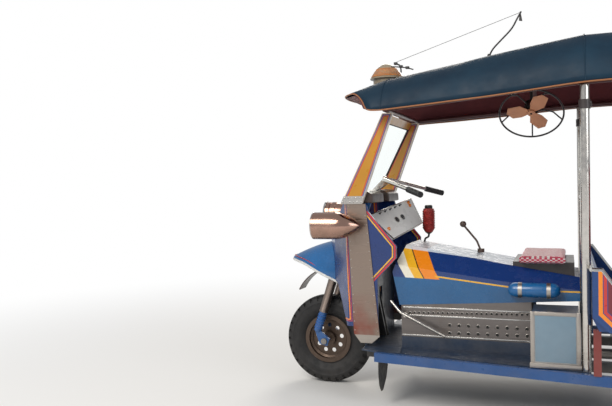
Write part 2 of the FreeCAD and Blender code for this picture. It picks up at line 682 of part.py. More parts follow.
def make_headlamps():
    shells = Piece("headlamp_shells")
    side = "cowl_side + strip_thickness + 2 * seat_gap + lamp_radius"
    pad = shells.turn("XY", (
        ("lamp_front - 30", "0"), ("lamp_front - 30", "lamp_radius - 5"), ("lamp_front", "lamp_radius - 5"),
        ("lamp_front", "lamp_radius"), ("lamp_front - 110", "lamp_radius", ("lamp_rear + 50", "lamp_radius * 0.66")),
        ("lamp_rear", "8"), ("lamp_rear", "0"),
    ), "H_Axis", "lamp_height", side)
    arm = shells.rod("XZ", (("1060", "lamp_height"),), "14", "cowl_side + strip_thickness + 2 * seat_gap", "400")
    shells.mirror([pad, arm])
    lenses = Piece("headlamp_lenses")
    glass = lenses.turn("XY", (
        ("lamp_front - 30 + seat_gap", "0"), ("lamp_front - 4", "0", ("lamp_front - 8", "lamp_radius / 2")),
        ("lamp_front - 16", "lamp_radius - 5 - seat_gap"), ("lamp_front - 30 + seat_gap", "lamp_radius - 5 - seat_gap"),
    ), "H_Axis", "lamp_height", side)
    lenses.mirror([glass])


make_frame()
make_floor()
make_sills()
cowl_form = make_cowl()
make_strips()
make_nose(cowl_form)
make_headlamps()


def make_windscreen():
    """Wide side pillars joined by a foot rail and a header, with the glass between them."""
    lean = "(screen_foot_ahead - screen_top_ahead) / (screen_top - cowl_top)"
    frame = Piece("windscreen_frame")
    pillar = frame.pad("XZ", (
        ("screen_foot_ahead", "cowl_top"), ("screen_top_ahead", "screen_top"),
        ("screen_top_ahead - screen_top_width", "screen_top"), ("screen_foot_ahead - screen_foot_width", "cowl_top"),
    ), "screen_side - pillar_thickness", "screen_side")
    frame.mirror([pillar])
    for low in ("cowl_top", "screen_top - screen_rail"):
        front = f"screen_foot_ahead - ({low} - cowl_top) * {lean}"
        frame.pad("XZ", (
            (front, low), (f"{front} - screen_rail * {lean}", f"{low} + screen_rail"),
            (f"{front} - screen_rail * {lean} - screen_rail_thickness", f"{low} + screen_rail"),
            (f"{front} - screen_rail_thickness", low),
        ), "-screen_side + 2", "screen_side - 2")
    glass = Piece("windscreen_glass")
    low, high = "cowl_top + screen_rail + seat_gap", "screen_top - screen_rail - seat_gap"
    foot = f"screen_foot_ahead - ({low} - cowl_top) * {lean} - 5"
    head = f"screen_foot_ahead - ({high} - cowl_top) * {lean} - 5"
    glass.pad("XZ", (
        (foot, low), (head, high), (f"{head} - glass_thickness", high), (f"{foot} - glass_thickness", low),
    ), "-screen_side + pillar_thickness + seat_gap", "screen_side - pillar_thickness - seat_gap")


def make_dash():
    """The instrument box turned towards the driver, on a stay from the frame's neck."""
    ends = (  # side, upper edge (ahead, up), lower edge (ahead, up)
        (230, (1004, 1038), (864, 906)),
        (-130, (838, 1126), (768, 976)),
    )
    depth = (28, -22)
    wires = []
    for side, (top_x, top_z), (low_x, low_z) in ends:
        corners = [V(top_x, side, top_z), V(low_x, side, low_z),
                   V(low_x + depth[0], side, low_z + depth[1]), V(top_x + depth[0], side, top_z + depth[1])]
        wires.append(Part.makePolygon(corners + corners[:1]))
    box_form = Part.makeLoft(wires, True, True)
    neck_face = 1080 - size("seat_gap")
    stay = slab("XZ", ((880, 990), (905, 960), (neck_face, 915), (neck_face, 955)), -20, 20)
    feature_piece("dash_panel", box_form.fuse(stay).removeSplitter())


def make_fairing():
    """The long cover between the driver's feet, falling towards the seat."""
    slope = size("(guard_rear_top - guard_front_top) / (guard_front - guard_rear)")
    front = size("guard_front")
    stations = (  # ahead, ridge height, ridge half width, crease height, crease half width
        (front, size("fairing_front_top"), 180, 770, size("tunnel_side")),
        (size("fairing_waist"), size("fairing_waist_top"), 214, 690, size("tunnel_side") + 4),
        (size("fairing_tail"), size("fairing_tail_top"), 220, 655, size("tunnel_side") + 4),
    )
    wires = []
    for ahead, ridge, narrow, crease, wide in stations:
        foot = size("guard_front_top") + slope * (front - ahead)
        corners = [V(ahead, -wide, foot), V(ahead, -wide, crease), V(ahead, -narrow, ridge),
                   V(ahead, narrow, ridge), V(ahead, wide, crease), V(ahead, wide, foot)]
        wires.append(Part.makePolygon(corners + corners[:1]))
    cover = Part.makeLoft(wires, True, True)
    nose = ((front + 10, 900), (793, 900), (800, 866), (856, 725), (815, 530), (front + 10, 530))
    cover = cover.cut(slab("XZ", nose, -400, 400))
    feature_piece("centre_fairing", cover)


def make_guards():
    guards = Piece("engine_guards")
    gap = "seat_gap"
    slope = "(guard_rear_top - guard_front_top) / (guard_front - guard_rear)"
    pad = guards.pad("XZ", (
        ("guard_front - 52", "guard_foot + seat_gap"), ("guard_front - 52", f"guard_front_top + 52 * {slope} - {gap}"),
        ("guard_rear", f"guard_rear_top - {gap}"), ("guard_rear", "guard_foot + seat_gap"),
    ), "tunnel_side - guard_thickness", "tunnel_side")
    guards.mirror([pad])


def make_engine():
    engine = Piece("engine_block")
    engine.pad("XZ", (("180", "rail_foot"), ("180", "470"), ("330", "530"), ("600", "530"), ("620", "500"), ("620", "rail_foot")),
               "-200", "200")


def make_rear_axle():
    """Beam axle with its differential housing and the two spindles."""
    axle = Piece("rear_axle")
    flange = "rear_wheel_side - hub_width / 2 - seat_gap"
    axle.turn("YZ", (
        ("-rear_wheel_side - hub_width / 2 - 14", "0"), ("-rear_wheel_side - hub_width / 2 - 14", "spindle_radius"),
        (f"-({flange})", "spindle_radius"), (f"-({flange})", "58"), (f"-({flange}) + 14", "58"),
        (f"-({flange}) + 14", "32"), ("-150", "36"), ("-96", "104"), ("-60", "118"), ("60", "118"), ("96", "104"), ("150", "36"),
        (f"{flange} - 14", "32"), (f"{flange} - 14", "58"), (flange, "58"),
        (flange, "spindle_radius"), ("rear_wheel_side + hub_width / 2 + 14", "spindle_radius"),
        ("rear_wheel_side + hub_width / 2 + 14", "0"),
    ), "H_Axis")
    axle.place("front_axle_ahead - wheelbase", "0", "tyre_radius")
    shaft = Piece("propeller_shaft")
    length = "180 - seat_gap - (front_axle_ahead - wheelbase + 118 + seat_gap)"
    shaft.rod("YZ", (("0", "0"),), "28", "0", length)
    shaft.place("front_axle_ahead - wheelbase + 118 + seat_gap", "0", "tyre_radius")


def make_springs():
    """Leaf packs over the axle, their eyes under the kicked-up rails."""
    springs = Piece("leaf_springs")
    axle = "front_axle_ahead - wheelbase"
    hanger = "rail_foot + kick_rise - seat_gap"
    saddle = "tyre_radius + 36"
    pad = springs.pad("XZ", (
        (f"{axle} + 275", hanger), (f"{axle} + 245", hanger), (f"{axle} + 238", "395"),
        (f"{axle} + 50", f"{saddle} + 32"), (f"{axle} - 50", f"{saddle} + 32"), (f"{axle} - 270", "395"),
        (f"{axle} - 278", hanger), (f"{axle} - 308", hanger), (f"{axle} - 308", "380"), (f"{axle} - 60", saddle),
        (f"{axle} + 60", saddle), (f"{axle} + 275", "380"),
    ), "rail_side - 24", "rail_side + 24")
    springs.mirror([pad])


def make_driver_seat():
    frame = Piece("driver_seat_frame")
    fall = "(fairing_waist_top - fairing_tail_top) / (fairing_waist - fairing_tail)"
    foot = "fairing_tail_top + seat_gap"
    frame.pad("XZ", (("215", "seat_frame_top"), ("215", f"{foot} + (215 - fairing_tail) * {fall}"),
                     ("-95", f"{foot} + (-95 - fairing_tail) * {fall}"), ("-95", "seat_frame_top")), "-210", "210")
    pad = Piece("driver_seat_pad")
    pad.pad("XY", (("-120", "-255"), ("128", "-275"), ("128", "285"), ("-120", "285")), "0", "seat_pad_thickness")
    pad.place("60", "0", "seat_frame_top + seat_gap")


def make_battery_box():
    tray = Piece("battery_box")
    top = "rail_foot + rail_depth + floor_thickness"
    tray.pad("XZ", (("112", f"{top} + seat_gap"), ("112", f"{top} + 26"), ("104", f"{top} + 30"), ("104", "582"),
                    ("-110", "582"), ("-110", f"{top} + 30"), ("-118", f"{top} + 26"), ("-118", f"{top} + seat_gap")),
             "340", "556")


def make_tank():
    tank = Piece("gas_tank")
    tank.turn("XZ", (("-34", "0"), ("-34", "30"), ("-10", "46"), ("210", "46"), ("234", "30"), ("234", "0")),
              "H_Axis", "tunnel_side + 4 + 46 + 1", "660")
    tank.pad("XZ", (("20", "650"), ("20", "670"), ("40", "670"), ("40", "650")), "tunnel_side + 4 + seat_gap", "tunnel_side + 30")
    tank.pad("XZ", (("160", "650"), ("160", "670"), ("180", "670"), ("180", "650")), "tunnel_side + 4 + seat_gap", "tunnel_side + 30")


def make_levers():
    """The bent foot lever beside the guard, the gear lever and the ribbed hand lever."""
    foot = bent_tube(((865, 312, 565), (806, 330, 505), (560, 350, 390)), 8, 40)
    face = size("tunnel_side + seat_gap")
    boss = Part.makeCylinder(13, 332 - face, V(780, face, 493), V(0, 1, 0))
    feature_piece("foot_lever", foot.fuse(boss).removeSplitter())
    gear = bent_tube(((417, -100, 812), (440, -100, 872), (512, -100, 960)), 6, 60)
    knob = Part.makeSphere(19, V(519, -100, 971))
    foot_ring = Part.makeCylinder(20, 22, V(417, -100, 804.6))
    feature_piece("gear_lever", gear.multiFuse([knob, foot_ring]).removeSplitter())


def roof_stations():
    """Station ahead, half width, lower edge and crown of the canopy, from front to rear."""
    return (
        (size("roof_front") + 20, 470, 1590, 1742),
        (900, 500, 1613, 1824),
        (312, 556, 1646, 1912),
        (-147, 610, 1682, 1968),
        (size("roof_rear"), 660, 1706, 1962),
    )


def roof_crown(ahead):
    """Height of the canopy's outer ridge at a station between two of the table's."""
    stations = roof_stations()
    for (x1, _, _, z1), (x2, _, _, z2) in zip(stations, stations[1:]):
        if x1 >= ahead >= x2:
            return z1 + (z2 - z1) * (x1 - ahead) / (x1 - x2)
    raise ValueError(f"no canopy at {ahead}")


def roof_section(ahead, half, edge, crown, wall):
    """One closed cross-section of the canopy: outer arcs, then inner arcs and two plain hems, or a floor."""
    shoulder_side, shoulder_up = half - 150, crown - 44

    def curve(inset):
        out, peak = half - inset, crown - inset
        bend_side, bend_up = shoulder_side - inset * 0.6, shoulder_up - inset
        through = (half - inset - 48, edge + (shoulder_up - edge) * 0.62 - inset * 0.4)
        points = [V(ahead, -out, edge), V(ahead, -through[0], through[1]), V(ahead, -bend_side, bend_up),
                  V(ahead, 0, peak), V(ahead, bend_side, bend_up), V(ahead, through[0], through[1]), V(ahead, out, edge)]
        arcs = [Part.Arc(*points[0:3]).toShape(), Part.Arc(*points[2:5]).toShape(), Part.Arc(*points[4:7]).toShape()]
        return points, arcs

    outer_points, outer = curve(0)
    if not wall:
        return Part.Wire(Part.__sortEdges__(outer + [Part.LineSegment(outer_points[-1], outer_points[0]).toShape()]))
    inner_points, inner = curve(wall)
    hems = [Part.LineSegment(outer_points[-1], inner_points[-1]).toShape(),
            Part.LineSegment(inner_points[0], outer_points[0]).toShape()]
    return Part.Wire(Part.__sortEdges__(outer + hems + inner))


def make_canopy():
    """The vinyl roof: a barrel that narrows and falls to a round front lip."""
    wall = size("roof_wall")
    barrel = Part.makeLoft([roof_section(*station, wall) for station in roof_stations()], True, True)
    front, radius, rear = size("roof_front"), size("roof_lip_radius"), size("roof_rear")
    corner = 520
    back = front - (radius - math.sqrt(radius ** 2 - corner ** 2))
    edges = [Part.Arc(V(back, -corner, 1400), V(front, 0, 1400), V(back, corner, 1400)).toShape()]
    around = [V(back, corner, 1400), V(back - 120, 720, 1400), V(rear, 720, 1400), V(rear, -720, 1400),
              V(back - 120, -720, 1400), V(back, -corner, 1400)]
    edges += [Part.LineSegment(a, b).toShape() for a, b in zip(around, around[1:])]
    plan = Part.Face(Part.Wire(edges)).extrude(V(0, 0, 700))
    feature_piece("roof_canopy", barrel.common(plan))
    return Part.makeLoft([roof_section(*station, 0) for station in roof_stations()], True, True)


def make_roof_frame():
    """Side rails, a front cross tube and bows under the canopy."""
    r = size("bow_radius")
    high, rise = size("roof_rail_height"), size("roof_rail_rise")
    mid, rear = size("post_ahead"), size("roof_rear") + 30
    low = size("screen_top") + size("seat_gap") + r
    front = size("screen_top_ahead - screen_top_width / 2")
    rails = []
    for flip in (1, -1):
        rails.append(bent_tube(((front, flip * 430, low), (mid, flip * size("post_side"), high),
                                (rear, flip * (size("rear_post_side") + 5), high + rise)), r, 300))
    rails.append(bent_tube(((front, -430, low), (front, 430, low)), r))
    bows = (  # ahead, side of the rail there, rail height there
        (120, 524, 1666), (-760, 567, 1692), (-1380, 585, 1699),
    )
    for ahead, side, up in bows:
        top = roof_crown(ahead) - size("roof_wall") - r - size("seat_gap")
        path = Part.Wire(Part.Arc(V(ahead, -side, up), V(ahead, 0, top), V(ahead, side, up)).toShape())
        tangent = path.Edges[0].tangentAt(path.Edges[0].FirstParameter)
        circle = Part.Wire(Part.makeCircle(r, V(ahead, -side, up), tangent))
        rails.append(path.makePipeShell([circle], True, False))
    feature_piece("roof_frame", rails[0].multiFuse(rails[1:]))


def make_posts():
    r = size("post_radius")
    gap = size("seat_gap")
    floor_top = size("rail_foot + rail_depth + floor_thickness")
    top = size("roof_rail_height - bow_radius") - 2
    middle = Part.makeCylinder(r, top - floor_top - gap, V(size("post_ahead"), size("post_side"), floor_top + gap))
    rear_top = size("roof_rail_height + roof_rail_rise - bow_radius") - 4
    deck = size("deck_top") + gap
    rear = Part.makeCylinder(r, rear_top - deck, V(size("rear_post_ahead"), size("rear_post_side"), deck))
    rails = [both_sides(middle), both_sides(rear)]
    reach = size("post_side - post_radius - seat_gap")
    for height in (1287, 1120):
        rails.append(Part.makeCylinder(14, 2 * reach, V(size("post_ahead"), -reach, height), V(0, 1, 0)))
    feature_piece("roof_posts", Part.makeCompound(rails))


def make_tub():
    """The passenger body: floor, walls with wheel arches and dipped entry, deck over the wheels."""
    front, rear, side, wall = size("tub_front"), size("tub_rear"), size("tub_side"), size("tub_wall")
    foot, deck = size("tub_foot"), size("deck_top")
    axle = size("front_axle_ahead - wheelbase")
    entry, high = size("tub_entry_top"), size("tub_rear_top")
    profile = ((front, size("tub_front_top")), (front - 40, size("tub_front_top")), (front - 150, entry), (-500, entry),
               (-600, high - 40), (-680, high), (rear, high), (rear, 450), (axle - 250, 450), (axle - 250, foot),
               (front - 70, foot), (front, foot + 70))
    arch = Part.makeCylinder(size("arch_radius"), 2 * side + 100, V(axle, -side - 50, axle_height), V(0, 1, 0))
    solids = []
    for flip in (1, -1):
        solids.append(slab("XZ", profile, flip * side, flip * (side - wall)).cut(arch))
    inner = side - wall
    solids.append(box((front - wall, -inner, foot + 60), (front, inner, size("tub_front_top"))))
    solids.append(box((-540, -inner, foot), (front - 30, inner, foot + wall)))
    solids.append(slab("XZ", ((front - 30, foot), (front, foot + 60), (front - wall, foot + 60), (front - 55, foot + wall)),
                       -inner, inner))
    solids.append(box((-565, -inner, foot), (-540, inner, deck)))
    solids.append(box((rear, -inner, deck - wall), (-540, inner, deck)))
    solids.append(box((rear, -inner, 450), (rear + wall, inner, high)))
    tub = solids[0].multiFuse(solids[1:]).removeSplitter()
    for flip in (1, -1):
        spacing, height, radius = size("plate_bolt_spacing / 2"), size("plate_bolt_height"), size("plate_bolt_radius")
        tub = tub.cut(Part.makeCylinder(radius, 2 * wall, V(rear - wall / 2, flip * spacing, height), V(1, 0, 0)))
    feature_piece("passenger_tub", tub)
    stays = Part.makeBox(34, 34, foot - size("rail_foot + rail_depth + 4") - 2 * size("seat_gap"),
                         V(-205, 600, size("rail_foot + rail_depth + 4") + size("seat_gap")))
    feature_piece("tub_stays", both_sides(stays))


def make_bench():
    bench = Piece("passenger_bench")
    bench.pad("XZ", (("bench_front", "deck_top"), ("bench_front", "bench_top"), ("bench_rear", "bench_top"),
                     ("bench_rear", "deck_top")), "-(tub_side - tub_wall - bench_gap)", "tub_side - tub_wall - bench_gap")
    cushion = Piece("bench_cushion")
    cushion.pad("XZ", (("bench_front + 10", "bench_top + seat_gap"), ("bench_front + 10", "bench_top + 110"),
                       ("bench_rear + 6", "bench_top + 110"), ("bench_rear + 6", "bench_top + seat_gap")),
                "-(tub_side - tub_wall - bench_gap - 4)", "tub_side - tub_wall - bench_gap - 4")
    back = Piece("bench_backrest")
    back.pad("XZ", (("bench_rear + 2", "bench_top + 116"), ("bench_rear - 70", "1340"), ("bench_rear - 160", "1340"),
                    ("bench_rear - 92", "bench_top + 6 + seat_gap"), ("bench_rear - 6", "bench_top + 6 + seat_gap")),
             "-(tub_side - tub_wall - bench_gap - 24)", "tub_side - tub_wall - bench_gap - 24")
    bench.pad("XZ", (("bench_rear + 2", "deck_top"), ("bench_rear + 2", "bench_top + 6"),
                     ("tub_rear + tub_wall", "bench_top + 6"), ("tub_rear + tub_wall", "bench_top - 14"),
                     ("bench_rear - 22", "bench_top - 14"), ("bench_rear - 22", "deck_top")),
              "-(tub_side - tub_wall - bench_gap - 40)", "tub_side - tub_wall - bench_gap - 40")


def make_fan():
    """A ceiling fan: drop rod, motor, spokes and ring; the blades turn on the motor's shaft."""
    tilt = FreeCAD.Rotation(V(1, 0, 0), -136)
    place = FreeCAD.Placement(V(size("fan_ahead"), size("fan_side"), size("fan_height")), tilt)
    ring = Part.makeTorus(size("fan_radius"), 5)
    motor = Part.makeCylinder(38, 52, V(0, 0, -82))
    shaft = Part.makeCylinder(5, 32, V(0, 0, -30))
    spokes = []
    for turn in range(5):
        spoke = bent_tube(((30, 0, -52), (118, 0, -52), (size("fan_radius"), 0, 0)), 4, 20)
        spoke.rotate(V(0, 0, 0), V(0, 0, 1), 72 * turn + 18)
        spokes.append(spoke)
    guard = ring.multiFuse([motor, shaft] + spokes)
    guard.Placement = place
    rear = place.multVec(V(0, 0, -60))
    top = roof_crown(rear.x) - size("roof_wall + 2 * bow_radius + 2 * seat_gap")
    rod = Part.makeCylinder(8, top - rear.z, V(rear.x, rear.y, rear.z))
    feature_piece("fan_guard", guard.fuse(rod).removeSplitter())
    hub = Part.makeCylinder(20, 22, V(0, 0, -24))
    blades = []
    for turn in range(3):
        blade = slab("XY", ((14, -16), (60, -46), (124, -34), (132, 6), (100, 40), (52, 34), (14, 14)), -17, -14)
        blade.rotate(V(0, 0, 0), V(0, 0, 1), 120 * turn)
        blades.append(blade)
    rotor = hub.multiFuse(blades).cut(Part.makeCylinder(5.05, 60, V(0, 0, -40)))
    feature_piece("fan_blades", rotor.removeSplitter(), place)


def make_roof_fittings():
    ahead, side, radius = size("lamp_dome_ahead"), size("lamp_dome_side"), size("lamp_dome_radius")
    base = roof_crown(ahead) - 60
    foot = Part.makeCylinder(radius, 94, V(ahead, side, base)).cut(roof_form.translated(V(0, 0, size("seat_gap"))))
    rings = ((0, 0), (6, 34), (20, 60), (42, 80), (70, 94), (90, 98))
    dome = Part.makeLoft([Part.Wire(Part.makeCircle(radius - inward, V(ahead, side, base + 94 + up)))
                          for inward, up in rings], True, True)
    feature_piece("roof_lamp", foot.fuse(dome).removeSplitter())
    ahead, side = size("whip_ahead"), size("whip_side")
    root = roof_crown(ahead) + 15
    whip = bent_tube(((ahead, side, root), (ahead - 4, side, root + 35), (ahead - 72, side, root + 85),
                      (ahead - 164, side, root + 199)), 4, 50)
    base = Part.makeCylinder(16, 70, V(ahead, side, root - 60))
    base = base.cut(roof_form.translated(V(0, 0, size("seat_gap"))))
    feature_piece("antenna", whip.fuse(base).removeSplitter())


def make_rear():
    lamps = Piece("tail_lamps")
    pad = lamps.pad("YZ", (("520", "700"), ("640", "700"), ("640", "780"), ("520", "780")), "tub_rear - 26", "tub_rear - seat_gap")
    lamps.mirror([pad])
    bumper = bent_tube(((-1500, 560, 412), (-1582, 560, 412), (-1582, -560, 412), (-1500, -560, 412)), 18, 40)
    start = size("frame_rear - seat_gap")
    for flip in (1, -1):
        bumper = bumper.fuse(Part.makeCylinder(12, start + 1582, V(-1582, flip * 320, 424), V(1, 0, 0)))
    feature_piece("rear_bumper", bumper)


def make_flaps():
    flaps = Piece("mud_flaps")
    low = "rail_foot - seat_gap"
    pad = flaps.pad("YZ", (("270", f"{low}"), ("250", "180"), ("330", "78"), ("352", "78"), ("440", "180"), ("450", f"{low}")),
                    "sill_front - 24", "sill_front - 18")
    flaps.mirror([pad])


make_windscreen()
make_dash()
make_fairing()
make_guards()
make_engine()
make_rear_axle()
make_springs()
make_driver_seat()
make_battery_box()
make_tank()
make_levers()
roof_form = make_canopy()
make_roof_frame()
make_posts()
make_tub()
make_bench()
make_fan()
make_roof_fittings()
make_rear()
make_flaps()


def write_pieces():
    doc.recompute()
    for item in doc.Objects:
        if {"Invalid", "Error"} & set(item.State):
            raise RuntimeError(f"{item.Label} did not build: {item.State}")
    for piece in pieces:
        if piece.Shape.isNull() or not piece.Shape.isValid():
            raise RuntimeError(f"{piece.Label} has no valid shape")
    os.makedirs("parts", exist_ok=True)
    for piece in pieces:
        piece.Shape.exportStep(f"parts/{piece.Label}.step")
        limits = piece.Shape.BoundBox
        print(f"{piece.Label:24s} solids {len(piece.Shape.Solids)}  X {limits.XMin:.0f} {limits.XMax:.0f}"
              f"  Y {limits.YMin:.0f} {limits.YMax:.0f}  Z {limits.ZMin:.0f} {limits.ZMax:.0f}")


write_pieces()
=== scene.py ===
# %% [markdown]
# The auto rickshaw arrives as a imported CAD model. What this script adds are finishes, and
# pieces that CAD leaves plain, such as cloth, cord and trim.

# %% Load the frame
import bpy
import bmesh
import math
from mathutils import Matrix, Vector, noise


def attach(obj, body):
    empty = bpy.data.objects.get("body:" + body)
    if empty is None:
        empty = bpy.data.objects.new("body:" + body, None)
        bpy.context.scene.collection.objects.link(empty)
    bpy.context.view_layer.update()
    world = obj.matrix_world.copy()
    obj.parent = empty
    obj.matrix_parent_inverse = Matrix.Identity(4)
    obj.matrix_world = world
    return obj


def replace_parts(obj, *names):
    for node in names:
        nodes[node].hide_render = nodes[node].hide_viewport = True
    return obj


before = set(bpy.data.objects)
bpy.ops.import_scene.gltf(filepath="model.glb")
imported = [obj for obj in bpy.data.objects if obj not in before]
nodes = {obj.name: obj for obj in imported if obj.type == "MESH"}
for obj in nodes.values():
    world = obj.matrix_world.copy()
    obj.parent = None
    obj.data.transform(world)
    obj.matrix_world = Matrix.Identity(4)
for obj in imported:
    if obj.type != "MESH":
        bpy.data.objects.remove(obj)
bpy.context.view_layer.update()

# %% [markdown]
# A camera stands at the photo's own viewpoint. Its place was worked out from the tyre's size,
# the fork's lean and the line of the sill. It looks across the front left corner, a little
# below the driver's eye.

# %% Camera
CAMERA_PLACE = Vector((-0.0645, 4.1214, 1.2043))
CAMERA_LOOK = Vector((0.3501, -0.9365, -0.0219)).normalized()
CAMERA_UP = Vector((-0.0095, -0.0269, 0.9996))
SENSOR_WIDTH, LENS = 36, 41.18


def add_camera():
    camera = bpy.data.objects.new("camera", bpy.data.cameras.new("camera"))
    bpy.context.scene.collection.objects.link(camera)
    camera.data.sensor_width = SENSOR_WIDTH
    camera.data.lens = LENS
    right = CAMERA_LOOK.cross(CAMERA_UP).normalized()
    up = right.cross(CAMERA_LOOK)
    turned = Matrix((right, up, -CAMERA_LOOK)).transposed().to_4x4()
    camera.matrix_world = Matrix.Translation(CAMERA_PLACE) @ turned
    bpy.context.scene.camera = camera


add_camera()
print("camera", LENS, "mm")

# %% [markdown]
# All finishes share one small toolbox. It keeps a principled shader and chains the few node
# kinds that a painted vehicle needs: object coordinates, noise, a distance from a line for
# pinstripes, a blend and a bump. Values that are the same all over stay on the sockets.

# %% A toolbox for finishes
class Finish:
    """A material with shorthand for the nodes that this vehicle's finishes share."""

    def __init__(self, name, colour=(0.5, 0.5, 0.5), rough=0.5, metal=0.0, **sockets):
        self.material = bpy.data.materials.new(name)
        self.material.use_nodes = True
        self.tree = self.material.node_tree
        self.shader = self.tree.nodes["Principled BSDF"]
        self.shader.inputs["Base Color"].default_value = (*colour, 1)
        self.shader.inputs["Roughness"].default_value = rough
        self.shader.inputs["Metallic"].default_value = metal
        for name, number in sockets.items():
            label = name.replace("_", " ").title().replace("Ior", "IOR")
            self.shader.inputs[label].default_value = number
        self.place = None

    def add(self, kind, *inputs, **settings):
        node = self.tree.nodes.new(kind)
        for name, value in settings.items():
            setattr(node, name, value)
        for socket, value in zip(node.inputs, inputs):
            self.feed(socket, value)
        return node

    def feed(self, socket, value):
        if value is None:
            return
        if isinstance(value, bpy.types.NodeSocket):
            self.tree.links.new(value, socket)
        else:
            socket.default_value = value

    def coordinates(self):
        if self.place is None:
            self.place = self.add("ShaderNodeTexCoord").outputs["Object"]
            split = self.add("ShaderNodeSeparateXYZ", self.place)
            self.x, self.y, self.z = split.outputs
        return self.place

    def math(self, operation, a, b=None):
        return self.add("ShaderNodeMath", a, b, operation=operation).outputs[0]

    def times(self, a, b):
        return self.math("MULTIPLY", a, b)

    def between(self, value, low, high):
        """1 where a value lies between two limits, else 0."""
        return self.times(self.math("GREATER_THAN", value, low), self.math("LESS_THAN", value, high))

    def stretched(self, scale):
        """Object coordinates scaled along each axis."""
        node = self.add("ShaderNodeVectorMath", self.coordinates(), scale, operation="MULTIPLY")
        return node.outputs[0]

    def noise(self, scale, detail=4.0, rough=0.55, place=None):
        node = self.add("ShaderNodeTexNoise")
        self.feed(node.inputs["Vector"], place or self.coordinates())
        node.inputs["Scale"].default_value = scale
        node.inputs["Detail"].default_value = detail
        node.inputs["Roughness"].default_value = rough
        return node.outputs["Fac"]

    def span(self, value, low, high, to_low=0.0, to_high=1.0):
        node = self.add("ShaderNodeMapRange")
        for socket, number in zip(node.inputs, (value, low, high, to_low, to_high)):
            self.feed(socket, number)
        return node.outputs[0]

    def blend(self, mask, a, b):
        node = self.add("ShaderNodeMix", data_type="RGBA")
        self.feed(node.inputs["Factor"], mask)
        for name, colour in (("A", a), ("B", b)):
            socket = [s for s in node.inputs if s.name == name and s.type == "RGBA"][0]
            self.feed(socket, (*colour, 1) if isinstance(colour, tuple) else colour)
        return [s for s in node.outputs if s.type == "RGBA"][0]

    def along(self, direction, offset=0.0):
        """Distance along a direction in the object's coordinates, less the offset."""
        dot = self.add("ShaderNodeVectorMath", self.coordinates(), direction, operation="DOT_PRODUCT")
        return self.math("SUBTRACT", dot.outputs["Value"], offset)

    def inside(self, corners):
        """Distance in from the nearest edge of a convex (ahead, up) outline."""
        middle = [sum(c[k] for c in corners) / len(corners) for k in (0, 1)]
        nearest = None
        for (ax, az), (bx, bz) in zip(corners, corners[1:] + corners[:1]):
            length = math.hypot(bx - ax, bz - az)
            nx, nz = (az - bz) / length, (bx - ax) / length
            if (middle[0] - ax) * nx + (middle[1] - az) * nz < 0:
                nx, nz = -nx, -nz
            depth = self.along((nx, 0.0, nz), ax * nx + az * nz)
            nearest = depth if nearest is None else self.math("MINIMUM", nearest, depth)
        return nearest

    def colour(self, value):
        self.feed(self.shader.inputs["Base Color"], value)

    def rough(self, value):
        self.feed(self.shader.inputs["Roughness"], value)

    def bump(self, height, depth=0.001, strength=0.5):
        """Depth is the real height of the relief in metres."""
        node = self.add("ShaderNodeBump")
        node.inputs["Strength"].default_value = strength
        node.inputs["Distance"].default_value = depth
        self.feed(node.inputs["Height"], height)
        self.tree.links.new(node.outputs[0], self.shader.inputs["Normal"])

    def dusty(self, colour, dust=(0.30, 0.25, 0.19), top=0.55, amount=0.5):
        """Dust over a colour, thick near the ground and patchy."""
        low = self.span(self.coordinates() and self.z, 0.05, top, amount, 0.0)
        patches = self.span(self.noise(9, 6, 0.65), 0.35, 0.75)
        return self.blend(self.times(low, patches), colour, dust)


def dress(finish, *names):
    """Gives CAD nodes a finish; their meshes stay as they are."""
    for name in names:
        for holder in nodes[name].material_slots:
            holder.material = finish.material


print("toolbox ready")

# %% [markdown]
# Plain studio light shows colours as they are written. One big soft lamp above and ahead gives
# the forms a bright and a dark side, weaker ones fill from behind and from the right. The world
# is a pale grey that lights, but the camera sees white. So that no grey horizon stands behind
# the vehicle, the floor fades to white too, though only for what is seen, not for the light.

# %% Floor, lamps and world
FLOOR_REACH, FADE_NEAR, FADE_FAR = 120, 1.6, 6.5
LAMPS = (  # name, place, aim, width, watts, colour
    ("key", (2.5, 5.5, 5.0), (0.2, 0, 0.9), 3.5, 300, (1, 0.96, 0.90)),
    ("fill", (-4.5, 3.0, 3.0), (-0.2, 0, 0.8), 3.0, 90, (0.92, 0.96, 1)),
    ("rim", (1.5, -5.5, 4.0), (0.2, 0, 1.0), 3.0, 160, (1, 0.94, 0.86)),
)


def add_floor():
    pale = Finish("floor_pale", (0.80, 0.79, 0.77), 0.85)
    distance = pale.add("ShaderNodeVectorMath", pale.coordinates(), operation="LENGTH").outputs["Value"]
    far = pale.add("ShaderNodeMapRange", distance, FADE_NEAR, FADE_FAR, interpolation_type="SMOOTHSTEP")
    path = pale.add("ShaderNodeLightPath").outputs
    seen = pale.math("MAXIMUM", path["Is Camera Ray"], path["Is Glossy Ray"])
    seen = pale.math("MAXIMUM", seen, path["Is Transmission Ray"])
    white = pale.add("ShaderNodeEmission")
    share = pale.times(far.outputs[0], seen)
    mix = pale.add("ShaderNodeMixShader", share, pale.shader.outputs[0], white.outputs[0])
    pale.tree.links.new(mix.outputs[0], pale.tree.nodes["Material Output"].inputs[0])
    mesh = bpy.data.meshes.new("floor")
    shape = bmesh.new()
    bmesh.ops.create_grid(shape, x_segments=1, y_segments=1, size=FLOOR_REACH)
    shape.to_mesh(mesh)
    shape.free()
    mesh.materials.append(pale.material)
    floor = bpy.data.objects.new("floor", mesh)
    bpy.context.scene.collection.objects.link(floor)


def add_lamp(name, place, target, width, watts, colour):
    lamp = bpy.data.lights.new(name, "AREA")
    lamp.shape = "SQUARE"
    lamp.size = width
    lamp.energy = watts
    lamp.color = colour
    holder = bpy.data.objects.new(name, lamp)
    bpy.context.scene.collection.objects.link(holder)
    holder.location = place
    holder.rotation_euler = (Vector(target) - Vector(place)).to_track_quat("-Z", "Y").to_euler()


